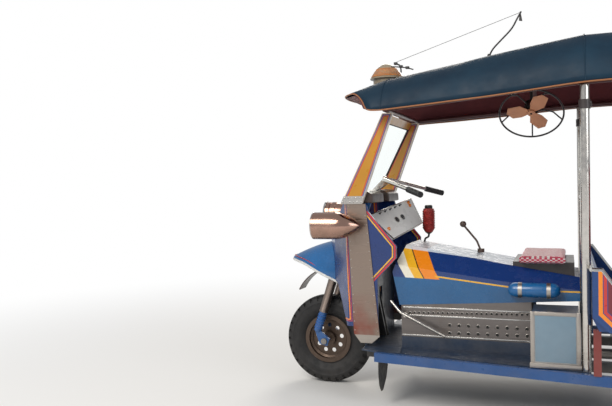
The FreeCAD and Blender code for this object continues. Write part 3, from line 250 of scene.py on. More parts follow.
def add_world():
    world = bpy.data.worlds.new("studio")
    bpy.context.scene.world = world
    world.use_nodes = True
    tree = world.node_tree
    tree.nodes.clear()
    light, white = (tree.nodes.new("ShaderNodeBackground") for _ in range(2))
    light.inputs["Color"].default_value = (0.93, 0.96, 1, 1)
    light.inputs["Strength"].default_value = 0.50
    white.inputs["Color"].default_value = (1, 1, 1, 1)
    path = tree.nodes.new("ShaderNodeLightPath")
    seen = tree.nodes.new("ShaderNodeMath")
    seen.operation = "MAXIMUM"
    mix = tree.nodes.new("ShaderNodeMixShader")
    out = tree.nodes.new("ShaderNodeOutputWorld")
    for start, end in (
        (path.outputs["Is Camera Ray"], seen.inputs[0]),
        (path.outputs["Is Transmission Ray"], seen.inputs[1]),
        (seen.outputs[0], mix.inputs[0]), (light.outputs[0], mix.inputs[1]),
        (white.outputs[0], mix.inputs[2]), (mix.outputs[0], out.inputs[0]),
    ):
        tree.links.new(start, end)


add_floor()
for lamp in LAMPS:
    add_lamp(*lamp)
add_world()
bpy.context.scene.view_settings.view_transform = "Standard"
print("stage set")

# %% [markdown]
# Most panels are sprayed steel. Real paint is never one flat colour: it is a little uneven,
# duller where hands and feet rub it, and dusty low down. One function makes such paint, and the
# colours are given for each panel.

# %% Paint, steel and rubber
NAVY = (0.008, 0.035, 0.16)
SKY = (0.030, 0.20, 0.50)
RED = (0.52, 0.030, 0.025)
ORANGE = (0.80, 0.23, 0.010)
YELLOW = (0.80, 0.42, 0.020)
CREAM = (0.78, 0.74, 0.62)
BRUSHED = (2, 2, 160)


def sprayed(name, colour, rough=0.32, dust=0.5, top=0.55, coat=0.35):
    """Sprayed panel paint, uneven by a few per cent, with dust low down."""
    paint = Finish(name, colour, rough, coat_weight=coat, coat_roughness=0.12)
    uneven = paint.span(paint.noise(5, 5), 0.3, 0.7)
    darker = tuple(0.78 * c for c in colour)
    paint.colour(paint.dusty(paint.blend(uneven, darker, colour), top=top, amount=dust))
    paint.rough(paint.span(paint.noise(22, 5, 0.6), 0.3, 0.75, rough - 0.08, rough + 0.16))
    paint.bump(paint.noise(7, 2, 0.4), 0.004, 0.25)
    return paint


def bare_steel(name, colour, rough, brushed=BRUSHED):
    """Sheet steel with fine brush lines along it and brown stains."""
    steel = Finish(name, colour, rough, 1.0)
    lines = steel.noise(1, 2, 0.5, steel.stretched(brushed))
    marks = steel.span(steel.noise(6, 6, 0.65), 0.55, 0.85)
    steel.colour(steel.blend(steel.times(marks, 0.6), colour, (0.20, 0.15, 0.11)))
    steel.rough(steel.math("ADD", steel.span(lines, 0.3, 0.7, rough - 0.08, rough + 0.10),
                           steel.times(marks, 0.25)))
    steel.bump(lines, 0.0006, 0.25)
    return steel


def rubber(name, colour=(0.018, 0.018, 0.019), rough=0.72, dust=0.55):
    """Black rubber, greyed by dust where it is low."""
    soft = Finish(name, colour, rough)
    soft.colour(soft.dusty(colour, (0.16, 0.14, 0.12), 0.6, dust))
    soft.rough(soft.span(soft.noise(30, 5), 0.3, 0.7, rough - 0.1, rough + 0.12))
    soft.bump(soft.noise(240, 3), 0.0006, 0.4)
    return soft


glass = Finish("lamp_glass", (0.95, 0.97, 1.0), 0.08, transmission_weight=0.6, ior=1.45)
clear = Finish("screen_glass", (0.96, 1.0, 0.99), 0.02, transmission_weight=1.0, ior=1.01)
copper = bare_steel("lamp_shell", (0.44, 0.27, 0.21), 0.20, (8, 8, 8))
CAST, CHROME, TURNED = (20, 20, 20), (30, 30, 30), (40, 40, 40)
PAINTS = (  # nodes, colour, roughness, dust
    (("front_fork",), (0.010, 0.10, 0.32), 0.32, 0.5),
    (("front_mudguard",), (0.05, 0.025, 0.02), 0.45, 0.5),
    (("ladder_frame", "rear_axle"), (0.020, 0.020, 0.024), 0.5, 0.5),
    (("floor_pan",), (0.006, 0.026, 0.065), 0.45, 0.35),
    (("side_sills",), (0.006, 0.070, 0.24), 0.33, 0.2),
    (("nose_fender",), (0.014, 0.13, 0.36), 0.22, 0.2),
    (("dash_panel",), (0.72, 0.72, 0.70), 0.3, 0.0),
    (("driver_seat_frame",), (0.03, 0.022, 0.02), 0.5, 0.5),
    (("gear_lever",), (0.06, 0.03, 0.02), 0.5, 0.0),
    (("roof_frame",), (0.07, 0.015, 0.015), 0.5, 0.0),
    (("passenger_bench",), (0.010, 0.075, 0.30), 0.3, 0.3),
    (("tub_stays",), (0.20, 0.025, 0.02), 0.45, 0.3),
    (("fan_guard",), (0.015, 0.012, 0.012), 0.5, 0.0),
    (("fan_blades",), (0.75, 0.36, 0.20), 0.35, 0.0),
    (("tail_lamps",), (0.5, 0.02, 0.015), 0.25, 0.0),
)
STEELS = (  # nodes, colour, roughness, brush lines along x, y, z
    (("front_rim", "rear_left_rim", "rear_right_rim"), (0.13, 0.095, 0.075), 0.5, TURNED),
    (("front_axle", "propeller_shaft"), (0.30, 0.28, 0.26), 0.45, BRUSHED),
    (("handlebar", "foot_lever", "roof_posts", "rear_bumper"), (0.60, 0.57, 0.53), 0.17, CHROME),
    (("engine_guards",), (0.20, 0.18, 0.17), 0.40, BRUSHED),
    (("engine_block", "leaf_springs"), (0.10, 0.10, 0.10), 0.7, CAST),
    (("battery_box",), (0.40, 0.40, 0.40), 0.40, BRUSHED),
)
for names, colour, rough, dust in PAINTS:
    dress(sprayed(names[0] + "_paint", colour, rough, dust), *names)
for names, colour, rough, brushed in STEELS:
    dress(bare_steel(names[0] + "_steel", colour, rough, brushed), *names)
dress(rubber("grip_rubber", rough=0.5, dust=0.0), "hand_grips")
dress(copper, "headlamp_shells")
dress(glass, "headlamp_lenses")
dress(clear, "windscreen_glass")
print("plain finishes ready")

# %% [markdown]
# Extra pieces are built from a few workshop moves: join parts, turn a profile on a lathe, lay a
# tube along a path, push out a flat outline, and cut a small block with softened edges. Every
# part is made where it belongs, so a finished object stays at the origin, its place in its mesh.

# %% Workshop moves
def aim(start, direction):
    """A frame at a point whose own Z looks along a direction."""
    turned = Vector(direction).to_track_quat("Z", "Y").to_matrix().to_4x4()
    return Matrix.Translation(Vector(start)) @ turned


def join(shape, part, place=None):
    """Adds one bmesh to another and frees it."""
    mesh = bpy.data.meshes.new("part")
    part.to_mesh(mesh)
    part.free()
    if place is not None:
        mesh.transform(place)
    shape.from_mesh(mesh)
    bpy.data.meshes.remove(mesh)


def lathe(profile, steps=40, closed=False):
    """A turned form about Z from (along, radius) pairs."""
    shape = bmesh.new()
    verts = [shape.verts.new((radius, 0, along)) for along, radius in profile]
    edges = [shape.edges.new(pair) for pair in zip(verts, verts[1:])]
    if closed:
        edges.append(shape.edges.new((verts[-1], verts[0])))
    bmesh.ops.spin(shape, geom=verts + edges, cent=(0, 0, 0), axis=(0, 0, 1), angle=2 * math.pi,
                   steps=steps, use_merge=True)
    bmesh.ops.remove_doubles(shape, verts=shape.verts, dist=1e-6)
    bmesh.ops.recalc_face_normals(shape, faces=shape.faces)
    return shape


def block(low, high, soft=0.0015):
    """A box with softened edges."""
    shape = bmesh.new()
    low, high = Vector(low), Vector(high)
    place = Matrix.Translation((low + high) / 2) @ Matrix.Diagonal((*(high - low), 1))
    bmesh.ops.create_cube(shape, size=1, matrix=place)
    soften(shape, soft)
    return shape


def soften(shape, width):
    """Rounds every edge of a form."""
    bmesh.ops.bevel(shape, geom=shape.edges[:], offset=width, segments=2, profile=0.5, affect="EDGES",
                    material=-1)


def slab(outline, step):
    """A flat outline of points pushed along a step."""
    shape = bmesh.new()
    face = shape.faces.new([shape.verts.new(point) for point in outline])
    grown = bmesh.ops.extrude_face_region(shape, geom=[face])["geom"]
    bmesh.ops.translate(shape, vec=step, verts=[g for g in grown if isinstance(g, bmesh.types.BMVert)])
    bmesh.ops.recalc_face_normals(shape, faces=shape.faces)
    return shape


def plate(corners, low, high):
    """A plate from (ahead, up) corners between two sides."""
    return slab([(x, low, z) for x, z in corners], (0, high - low, 0))


def pipe(shape, points, radius, closed=False, straight=False):
    """A tube along a smooth path with the points as its controls."""
    curve = bpy.data.curves.new("path", "CURVE")
    curve.dimensions = "3D"
    curve.bevel_depth = radius
    curve.bevel_resolution = 3
    curve.use_fill_caps = True
    curve.resolution_u = 8
    spline = curve.splines.new("POLY" if straight else "NURBS")
    spline.points.add(len(points) - 1)
    for control, point in zip(spline.points, points):
        control.co = (*point, 1)
    spline.order_u = 3
    spline.use_endpoint_u = not closed
    spline.use_cyclic_u = closed
    holder = bpy.data.objects.new("path", curve)
    mesh = bpy.data.meshes.new_from_object(holder)
    shape.from_mesh(mesh)
    bpy.data.meshes.remove(mesh)
    bpy.data.objects.remove(holder)
    bpy.data.curves.remove(curve)


def flipped(points):
    """The same points on the other side of the vehicle."""
    return [(x, -y, z) for x, y, z in points]


def put(name, shape, finish, sharp=35, body="chassis"):
    """Makes a bmesh a piece that rides on a body; edges sharper than the angle stay crisp."""
    mesh = bpy.data.meshes.new(name)
    shape.to_mesh(mesh)
    shape.free()
    mesh.polygons.foreach_set("use_smooth", [True] * len(mesh.polygons))
    mesh.set_sharp_from_angle(angle=math.radians(sharp))
    mesh.materials.append(finish.material)
    piece = bpy.data.objects.new(name, mesh)
    bpy.context.scene.collection.objects.link(piece)
    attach(piece, body)
    print(name, len(mesh.polygons), "faces")
    return piece


print("workshop ready")

# %% [markdown]
# The tyres are what the eye checks first. A real one has ribs round its crown and short notches
# across its shoulders. The profile, grooves included, is turned once, and then every third
# shoulder face is inset inwards. The pieces stand in the place of the plain tyres of the frame.

# %% Treaded tyres
TYRE_PROFILE = (  # side, radius, from one bead to the crown
    (-0.039, 0.1295), (-0.039, 0.150), (-0.056, 0.172), (-0.061, 0.186), (-0.0625, 0.190),
    (-0.063, 0.206), (-0.0610, 0.222), (-0.0625, 0.225), (-0.0600, 0.238), (-0.054, 0.254),
    (-0.047, 0.2622), (-0.034, 0.2660), (-0.033, 0.2590), (-0.027, 0.2595), (-0.026, 0.2675),
    (-0.011, 0.2692), (-0.010, 0.2620), (-0.004, 0.2622), (-0.003, 0.2699),
)
TYRE_RADIUS = 0.27
SHOULDER_LOW, SHOULDER_HIGH, SHOULDER_SIDE = 0.232, 0.266, 0.036
STEPS = 96
FRONT_AXLE, REAR_AXLE, REAR_SIDE = 1.33, -0.82, 0.56


def tyre(name, node, body, ahead, side):
    mirrored = tuple((-across, radius) for across, radius in reversed(TYRE_PROFILE))
    shape = lathe(TYRE_PROFILE + mirrored, STEPS, closed=True)
    notches = []
    for face in shape.faces:
        middle = face.calc_center_median()
        radius = math.hypot(middle.x, middle.y)
        step = round(math.atan2(middle.y, middle.x) / (2 * math.pi) * STEPS - 0.5) % 3
        on_shoulder = SHOULDER_LOW < radius < SHOULDER_HIGH and abs(middle.z) > SHOULDER_SIDE
        if on_shoulder and step == (0 if middle.z > 0 else 1):
            notches.append(face)
    bmesh.ops.inset_individual(shape, faces=notches, thickness=0.0015, depth=-0.006)
    bmesh.ops.transform(shape, matrix=aim((ahead, side, TYRE_RADIUS), (0, 1, 0)), verts=shape.verts)
    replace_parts(put(name, shape, tyre_finish, body=body), node)


tyre_finish = rubber("tread_rubber", (0.010, 0.010, 0.011), 0.62, 0.22)
for name, node, body, ahead, side in (
    ("front_tread", "front_tyre", "front_wheel", FRONT_AXLE, 0),
    ("rear_left_tread", "rear_left_tyre", "rear_left_wheel", REAR_AXLE, REAR_SIDE),
    ("rear_right_tread", "rear_right_tyre", "rear_right_wheel", REAR_AXLE, -REAR_SIDE),
):
    tyre(name, node, body, ahead, side)

# %% [markdown]
# The roof is vinyl stretched over bows. It is one continuous curved sheet: a grid whose points
# are moved to the roof's surface, which is known from its cross-sections. The cloth dips a
# little between the bows, and a maroon lining hangs under it. A round welt joins both hems.

# %% The roof's surface
STATIONS = (  # ahead, half width, hem height, crown height
    (1.200, 0.470, 1.590, 1.742), (0.900, 0.500, 1.613, 1.824), (0.312, 0.556, 1.646, 1.912),
    (-0.147, 0.610, 1.682, 1.968), (-1.590, 0.660, 1.706, 1.962),
)
BOWS = (0.84, 0.12, -0.76, -1.38)
VISOR_CUT = ((1.18, 1.742), (1.04, 1.658), (0.88, 1.604))  # ahead, up
ROOF_FRONT, LIP_RADIUS, LIP_CORNER, ROOF_REAR = 1.18, 0.64, 0.913, -1.588
TOP_SHARE, SHOULDER_IN, SHOULDER_DROP = 0.62, 0.150, 0.044


def arc_through(a, b, c):
    """Centre, radius and end angles of the arc from a to c through b."""
    (ax, ay), (bx, by), (cx, cy) = a, b, c
    aa, bb, cc = ax * ax + ay * ay, bx * bx + by * by, cx * cx + cy * cy
    d = 2 * (ax * (by - cy) + bx * (cy - ay) + cx * (ay - by))
    ux = (aa * (by - cy) + bb * (cy - ay) + cc * (ay - by)) / d
    uy = (aa * (cx - bx) + bb * (ax - cx) + cc * (bx - ax)) / d
    start, end = math.atan2(ay - uy, ax - ux), math.atan2(cy - uy, cx - ux)
    return (ux, uy), math.hypot(ax - ux, ay - uy), start, end


def visor(ahead):
    """Height under which the front of the roof is cut away."""
    if ahead < VISOR_CUT[-1][0]:
        return 0
    (cx, cz), radius, _, _ = arc_through(*VISOR_CUT)
    return cz - math.sqrt(max(radius ** 2 - (ahead - cx) ** 2, 0))


def roof_point(ahead, across, inset):
    """The roof's surface at a station; across runs from -1 at one hem to 1 at the other."""
    ahead = min(max(ahead, STATIONS[-1][0]), STATIONS[0][0])
    for (x1, *first), (x2, *second) in zip(STATIONS, STATIONS[1:]):
        if x1 >= ahead >= x2:
            share = (x1 - ahead) / (x1 - x2)
            half, hem, crown = (a + (b - a) * share for a, b in zip(first, second))
            break
    top = crown - inset
    shoulder = (half - SHOULDER_IN - inset * 0.6, top - SHOULDER_DROP)
    amount, way = abs(across), math.copysign(1, across)
    if amount < TOP_SHARE:
        (cy, cz), radius, start, end = arc_through((0, top), (shoulder[0] / 2, top - 0.0107), shoulder)
        angle = start + (end - start) * amount / TOP_SHARE
    else:
        knee = (half - inset - 0.048, hem + (crown - SHOULDER_DROP - hem) * 0.62 - inset * 0.4)
        (cy, cz), radius, start, end = arc_through(shoulder, knee, (half - inset, hem))
        angle = start + (end - start) * (amount - TOP_SHARE) / (1 - TOP_SHARE)
    side, up = cy + radius * math.cos(angle), cz + radius * math.sin(angle)
    return way * side, max(up, visor(ahead))


def roof_grid(long, wide, inset, sag):
    """A sheet on the roof's surface, which dips between the bows."""
    shape = bmesh.new()
    bmesh.ops.create_grid(shape, x_segments=long, y_segments=wide, size=1)
    for vert in shape.verts:
        share, across = (vert.co.x + 1) / 2, vert.co.y
        side, _ = roof_point(0.9, across, inset)
        front = LIP_CORNER
        if abs(side) < 0.52:
            front = ROOF_FRONT - LIP_RADIUS + math.sqrt(LIP_RADIUS ** 2 - side ** 2)
        front -= inset * 0.3
        ahead = ROOF_REAR + inset * 0.3 + share * (front - ROOF_REAR - inset * 0.3)
        side, up = roof_point(ahead, across, inset)
        nearest = min(abs(ahead - bow) for bow in BOWS)
        top = max(0.0, 1 - (across / 0.75) ** 2)
        ripple = noise.noise(Vector((ahead * 3, side * 5, inset * 40))) * 0.003
        vert.co = (ahead, side, up - sag * top * min(nearest / 0.3, 1.0) ** 1.5 - 0.003 - abs(ripple))
    return shape


def area_of(shape):
    return sum(face.calc_area() for face in shape.faces)


print("crown", roof_point(0.0, 0, 0), "hem", roof_point(0.0, 1, 0))

# %% [markdown]
# Vinyl has a fine leather-like grain, shallow puckers at its seams and a soft sheen. The lining
# is a plain maroon cloth. Both finishes follow the vehicle's own coordinates.

# %% Roof covering
vinyl = Finish("roof_vinyl", (0.004, 0.020, 0.040), 0.46, specular_ior_level=0.22)
faded = vinyl.span(vinyl.noise(4, 6, 0.6), 0.3, 0.7)
vinyl.colour(vinyl.blend(faded, (0.003, 0.015, 0.032), (0.006, 0.030, 0.056)))
vinyl.rough(vinyl.span(vinyl.noise(14, 5), 0.3, 0.7, 0.40, 0.60))
vinyl.bump(vinyl.math("ADD", vinyl.noise(700, 2), vinyl.times(vinyl.noise(9, 3), 3.0)), 0.0012, 0.35)
lining = Finish("roof_lining", (0.10, 0.012, 0.016), 0.85, sheen_weight=0.3)
faded = lining.span(lining.noise(5, 4), 0.3, 0.7)
lining.colour(lining.blend(faded, (0.070, 0.008, 0.012), (0.13, 0.018, 0.022)))
warp, weft = (lining.math("SINE", lining.along(way)) for way in ((2400.0, 0.0, 0.0), (0.0, 2400.0, 0.0)))
lining.bump(lining.times(warp, weft), 0.0004, 0.4)
welt = rubber("welt_cord", (0.30, 0.11, 0.035), 0.55, 0.0)



def thicken(piece, thickness, offset):
    """Gives a sheet a wall on one side."""
    wall = piece.modifiers.new("thickness", "SOLIDIFY")
    wall.thickness = thickness
    wall.offset = offset


outer = roof_grid(72, 56, 0.0, 0.006)
inner = roof_grid(48, 40, 0.0215, 0.0)
hem = [vert.co.copy() for vert in outer.verts if vert.is_boundary]
hem.sort(key=lambda point: math.atan2(point.y / 0.6, (point.x + 0.2) / 1.4))
outer_area, lining_area = area_of(outer), area_of(inner)
bmesh.ops.recalc_face_normals(outer, faces=outer.faces)
canopy = put("canopy_sheet", outer, vinyl, 60)
thicken(canopy, 0.003, -1)
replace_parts(canopy, "roof_canopy")
under = put("canopy_lining", inner, lining, 60)
thicken(under, 0.002, 1)
edge = bmesh.new()
pipe(edge, [(p.x, p.y * 0.995, p.z - 0.004) for p in hem[::2]], 0.0042, closed=True)
put("canopy_welt", edge, welt)
seam = bmesh.new()
for station in (-0.147, 0.86, -1.38):
    steps = [roof_point(station, -1 + k / 20, -0.0005) for k in range(41)]
    pipe(seam, [(station, side, up - 0.003) for side, up in steps], 0.0028)
put("canopy_seams", seam, vinyl)
print("canopy area", round(outer_area, 3), "lining", round(lining_area, 3))

# %% [markdown]
# Cushions are foam in a sewn cover. Each starts as a slightly smaller copy of its block, gets an
# even net of faces, and is blown up as cloth with air inside, with a limit on how far a point
# may move. The sewn channels are pressed in after that.

# %% Stuffed cushions
CLOTH_STEPS = 20
CHANNEL_DEPTH, CHANNEL_WIDTH = 0.010, 0.009


def evaluated(piece):
    graph = bpy.context.evaluated_depsgraph_get()
    return bpy.data.meshes.new_from_object(piece.evaluated_get(graph))


def stuffed(name, source, finish, voxel, cap, smaller, channels):
    """A stuffed copy of a node; channels are the sides at which lines are pressed into it."""
    mesh = nodes[source].data.copy()
    shape = bmesh.new()
    shape.from_mesh(mesh)
    bmesh.ops.remove_doubles(shape, verts=shape.verts, dist=1e-5)
    bmesh.ops.recalc_face_normals(shape, faces=shape.faces)
    normals = {vert.index: vert.normal.copy() for vert in shape.verts}
    for vert in shape.verts:
        vert.co -= normals[vert.index] * smaller
    shape.to_mesh(mesh)
    shape.free()
    piece = bpy.data.objects.new(name, mesh)
    bpy.context.scene.collection.objects.link(piece)
    even = piece.modifiers.new("even", "REMESH")
    even.mode = "VOXEL"
    even.voxel_size = voxel
    cloth = piece.modifiers.new("cloth", "CLOTH")
    cloth.settings.use_pressure = True
    cloth.settings.uniform_pressure_force = 4
    cloth.settings.effector_weights.gravity = 0
    cloth.settings.quality = 4
    cloth.point_cache.frame_end = CLOTH_STEPS
    start = evaluated(piece)
    for step in range(1, CLOTH_STEPS + 1):
        bpy.context.scene.frame_set(step)
    end = evaluated(piece)
    bpy.context.scene.frame_set(1)
    for before, after in zip(start.vertices, end.vertices):
        moved = after.co - before.co
        if moved.length > cap:
            after.co = before.co + moved.normalized() * cap
    for vert in end.vertices:
        near = min((abs(vert.co.y - side) for side in channels), default=1)
        vert.co -= vert.normal * CHANNEL_DEPTH * math.exp(-(near / CHANNEL_WIDTH) ** 2)
    piece.modifiers.clear()
    piece.data = end
    end.polygons.foreach_set("use_smooth", [True] * len(end.polygons))
    end.materials.clear()
    end.materials.append(finish.material)
    finer = piece.modifiers.new("finer", "SUBSURF")
    finer.levels = finer.render_levels = 1
    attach(piece, "chassis")
    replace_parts(piece, source)
    print(name, len(end.polygons), "faces before subdivision")


def hide_finish(name, dark, light):
    """Upholstery vinyl: grained, creased, a little shiny where it is sat on."""
    hide = Finish(name, light, 0.42, coat_weight=0.2, coat_roughness=0.3)
    hide.colour(hide.blend(hide.span(hide.noise(7, 5), 0.3, 0.7), dark, light))
    hide.rough(hide.span(hide.noise(18, 4), 0.3, 0.7, 0.34, 0.55))
    grain = hide.add("ShaderNodeTexVoronoi", hide.coordinates(), feature="DISTANCE_TO_EDGE")
    grain.inputs["Scale"].default_value = 420
    creases = hide.times(hide.noise(26, 4, 0.6), 2.0)
    hide.bump(hide.math("ADD", grain.outputs[0], creases), 0.0010, 0.35)
    return hide


red_hide = hide_finish("bench_vinyl", (0.24, 0.010, 0.018), (0.40, 0.022, 0.035))
sewn = [-0.48 + 0.16 * k for k in range(7)]
for source, fill in (("bench_cushion", 0.7), ("bench_backrest", 0.65)):
    stuffed(source + "_cover", source, red_hide, 0.010, 0.022, 0.014, sewn)

# %% [markdown]
# The driver sits on a pad wound with plastic cord. The cords run across the pad, red and white
# in turn, and pass over and under each other, so the finish has rows of round cords and blocks
# of colour that change from row to row.

# %% Driver's pad
CORD_ROW, CORD_BLOCK, CORD_FACE, CORD_ROUND, KNOT = 0.013, 0.030, 0.016, 0.006, 0.026
cord = Finish("wound_cord", (0.5, 0.05, 0.08), 0.5, sheen_weight=0.15)
u, v = cord.along((1, 0, 0)), cord.along((0, 1, 0))
row = cord.math("FLOOR", cord.times(u, 1 / CORD_ROW))
run = cord.math("ADD", cord.times(v, 1 / CORD_BLOCK), cord.times(cord.z, 1 / CORD_FACE))
run = cord.math("ADD", run, cord.times(cord.math("MODULO", row, 2.0), 0.5))
white_block = cord.math("GREATER_THAN", cord.math("FRACT", run), 0.62)
stripe = cord.math("GREATER_THAN", cord.math("FRACT", cord.times(u, 1 / 0.096)), 0.55)
white_block = cord.times(white_block, cord.math("SUBTRACT", 1.0, cord.times(stripe, 0.15)))
worn = cord.span(cord.noise(60, 4), 0.3, 0.7)
red_cord = cord.blend(worn, (0.38, 0.006, 0.040), (0.54, 0.016, 0.075))
white_cord = cord.blend(worn, (0.60, 0.55, 0.52), (0.80, 0.77, 0.74))
cord.colour(cord.blend(white_block, red_cord, white_cord))
ridges = cord.math("ABSOLUTE", cord.math("SINE", cord.times(u, math.pi / CORD_ROUND)))
knots = cord.math("ABSOLUTE", cord.math("SINE", cord.times(v, math.pi / KNOT)))
cord.bump(cord.math("ADD", ridges, cord.times(knots, 0.6)), 0.0035, 0.8)
stuffed("driver_pad_cover", "driver_seat_pad", cord, 0.0055, 0.008, 0.005, ())

# %% [markdown]
# The panels carry painted borders that keep an even distance from their edges. A finish can
# measure the distance in from a panel's outline, so a border is a band of that distance, and
# it turns each corner as a sign painter's brush would.

# %% Bordered panels
def bordered(name, base, outlines, rough=0.3, dust=0.3, side=0.0):
    """Paint with bands; an outline is (corners, reach of x or None, bands of (in, out, colour))."""
    paint = sprayed(name, base, rough, dust)
    colour = paint.shader.inputs["Base Color"].links[0].from_socket
    paint.coordinates()
    outer = paint.math("GREATER_THAN", paint.math("ABSOLUTE", paint.y), side)
    for corners, reach, bands in outlines:
        depth = paint.inside(list(corners))
        zone = outer
        if reach:
            zone = paint.times(zone, paint.between(paint.x, *reach))
        for low, high, band in bands:
            colour = paint.blend(paint.times(paint.between(depth, low, high), zone), colour, band)
    paint.colour(colour)
    return paint


PALE, MAROON, LINE_BLUE = (0.74, 0.70, 0.62), (0.16, 0.015, 0.025), (0.02, 0.08, 0.35)
COWL_FRONT = ((1.0715, 0.44), (1.60, 0.44), (1.60, 1.30), (1.108, 1.30))
COWL_REAR = ((0.820, 0.878), (0.820, 0.806), (1.20, 0.405), (1.30, 0.405), (1.30, 1.458))
PILLAR = ((1.130, 1.108), (1.008, 1.108), (0.826, 1.604), (0.884, 1.604))
TUB_EDGE = ((-0.166, 1.70), (-0.166, 0.59), (-0.236, 0.52), (-2.20, 0.52), (-2.20, 1.70))
cowl_outlines = (
    (COWL_FRONT, (1.06, 1.27), ((0.006, 0.010, RED), (0.014, 0.021, ORANGE))),
    (COWL_REAR, (0.80, 0.985), ((0.004, 0.013, RED), (0.018, 0.025, YELLOW))),
)
pillar_bands = ((0, 0.004, PALE), (0.007, 0.012, LINE_BLUE), (0.014, 0.019, RED))
tub_bands = ((0.026, 0.044, ORANGE), (0.048, 0.062, RED), (0.066, 0.084, MAROON), (0.090, 0.096, PALE))
dress(bordered("cowl_borders", (0.004, 0.030, 0.16), cowl_outlines, 0.28, 0.25, 0.22), "front_cowl")
dress(bordered("pillar_borders", (0.56, 0.25, 0.010), ((PILLAR, None, pillar_bands),), 0.32, 0.0, 0.34),
      "windscreen_frame")
dress(bordered("tub_borders", (0.006, 0.050, 0.20), ((TUB_EDGE, None, tub_bands),), 0.3, 0.3, 0.68),
      "passenger_tub")

# %% [markdown]
# The cover between the driver's feet is painted in sweeps that fan out towards the windscreen:
# cream and yellow ahead, a thin dark seam, then orange, and a navy sweep that thins to the rear
# over the light blue of the lower side. The top is painted almost white: a painted reflection of the sky on
# its gloss.

# %% Sweeps on the middle cover
SEAM = (0.02, 0.015, 0.012)
SWEEPS = (  # from, to along the cover at the height of its shoulder, colour
    (-0.30, 0.60, NAVY), (0.60, 0.68, ORANGE), (0.68, 0.686, SEAM), (0.686, 0.735, YELLOW),
    (0.735, 0.785, CREAM), (0.785, 1.0, NAVY),
)
COVER_REAR, COVER_FRONT, SHOULDER_UP, SWEEP_LEAN = 0.10, 0.86, 0.70, -0.55
sweep = sprayed("fairing_sweeps_and_painted_sky", (0.010, 0.105, 0.27), 0.22, 0.15)
base = sweep.shader.inputs["Base Color"].links[0].from_socket
sweep.coordinates()


def falling(rear, front):
    """A height that changes evenly from the cover's rear to its front."""
    return sweep.span(sweep.x, COVER_REAR, COVER_FRONT, rear, front)


lean = sweep.math("ADD", sweep.x, sweep.times(sweep.math("SUBTRACT", sweep.z, SHOULDER_UP), SWEEP_LEAN))
navy_part = sweep.math("GREATER_THAN", sweep.z, falling(0.652, 0.742))
bright_part = sweep.math("GREATER_THAN", sweep.z, falling(0.668, 0.700))
for low, high, colour in SWEEPS:
    part = bright_part if low > 0 else navy_part
    base = sweep.blend(sweep.times(sweep.between(lean, low, high), part), base, colour)
from_line = sweep.math("ABSOLUTE", sweep.math("SUBTRACT", sweep.z, falling(0.646, 0.734)))
thin_line = sweep.times(sweep.math("LESS_THAN", from_line, 0.004), sweep.math("LESS_THAN", sweep.x, 0.62))
base = sweep.blend(thin_line, base, YELLOW)
# The top is blended to a pale blue-grey: a painted reflection of the sky on the glossy top, not the paint's
# own colour.
top = sweep.math("LESS_THAN", sweep.math("ABSOLUTE", sweep.y), 0.205)
sweep.colour(sweep.blend(sweep.times(top, 0.85), base, (0.60, 0.66, 0.72)))
dress(sweep, "centre_fairing")
print("panels painted")

# %% [markdown]
# Bright trim ties the body together: a pale lip and a red line round the beak, a rolled steel
# edge on the passenger body, a rubber seal round the glass and a clamp on each roof post. From
# here on, `turned_part` places a lathe's work, and `sides` gives the left and the right.

# %% Trim
SEAL_RADIUS, EDGE_RADIUS = 0.0062, 0.0135
POST_AHEAD, POST_SIDE, CLAMP_UP = -0.1436, 0.55, 1.575
sides = (1, -1)
ahead_way, up_way = (1, 0, 0), (0, 0, 1)


def turned_part(profile, steps, place, direction=ahead_way, closed=False):
    """A lathe's form that stands at a place and looks along a direction."""
    shape = lathe(profile, steps, closed)
    bmesh.ops.transform(shape, matrix=aim(place, direction), verts=shape.verts)
    return shape


def gathered(parts):
    """One bmesh of several."""
    shape = bmesh.new()
    for part in parts:
        join(shape, part)
    return shape


bright = bare_steel("trim_chrome", (0.60, 0.59, 0.57), 0.18, CHROME)
dull = bare_steel("trim_steel", (0.46, 0.42, 0.38), 0.36)
white_trim = sprayed("lip_white", (0.74, 0.74, 0.72), 0.3, 0.0)
red_trim = sprayed("line_red", RED, 0.35, 0.0)
BEAK = (
    (1.205, 0.197, 0.640), (1.265, 0.188, 0.664), (1.33, 0.1775, 0.690), (1.39, 0.155, 0.716),
    (1.45, 0.1295, 0.742), (1.51, 0.084, 0.752), (1.548, 0.045, 0.757), (1.560, 0.0, 0.758),
)
for name, finish, radius, lift in (
    ("beak_lip", white_trim, 0.0075, 0.002),
    ("beak_line", red_trim, 0.0022, 0.026),
):
    shape = bmesh.new()
    route = [(x - lift * 0.3, y - lift * 0.10 * (y > 0), z + lift) for x, y, z in BEAK]
    pipe(shape, route + flipped(route[:-1])[::-1], radius)
    put(name, shape, finish)

TUB_RIM = [
    (-0.166, 0.6775, 0.802), (-0.206, 0.6775, 0.802), (-0.316, 0.6775, 0.650), (-0.500, 0.6775, 0.650),
    (-0.600, 0.6775, 0.920), (-0.680, 0.6775, 0.960), (-1.516, 0.6775, 0.960),
]
shape = bmesh.new()
for route in (TUB_RIM, flipped(TUB_RIM)):
    pipe(shape, route, EDGE_RADIUS, straight=True)
pipe(shape, [(-0.1665, -0.66, 0.804), (-0.1665, 0.66, 0.804)], 0.012, straight=True)
put("tub_edge_trim", shape, bright)

shape = bmesh.new()
glass_side = [(1.104, 0.344, 1.150), (0.894, 0.344, 1.562)]
pipe(shape, glass_side + flipped(glass_side)[::-1] + glass_side[:1], SEAL_RADIUS, straight=True)
put("screen_seal", shape, rubber("seal_rubber", dust=0.0))

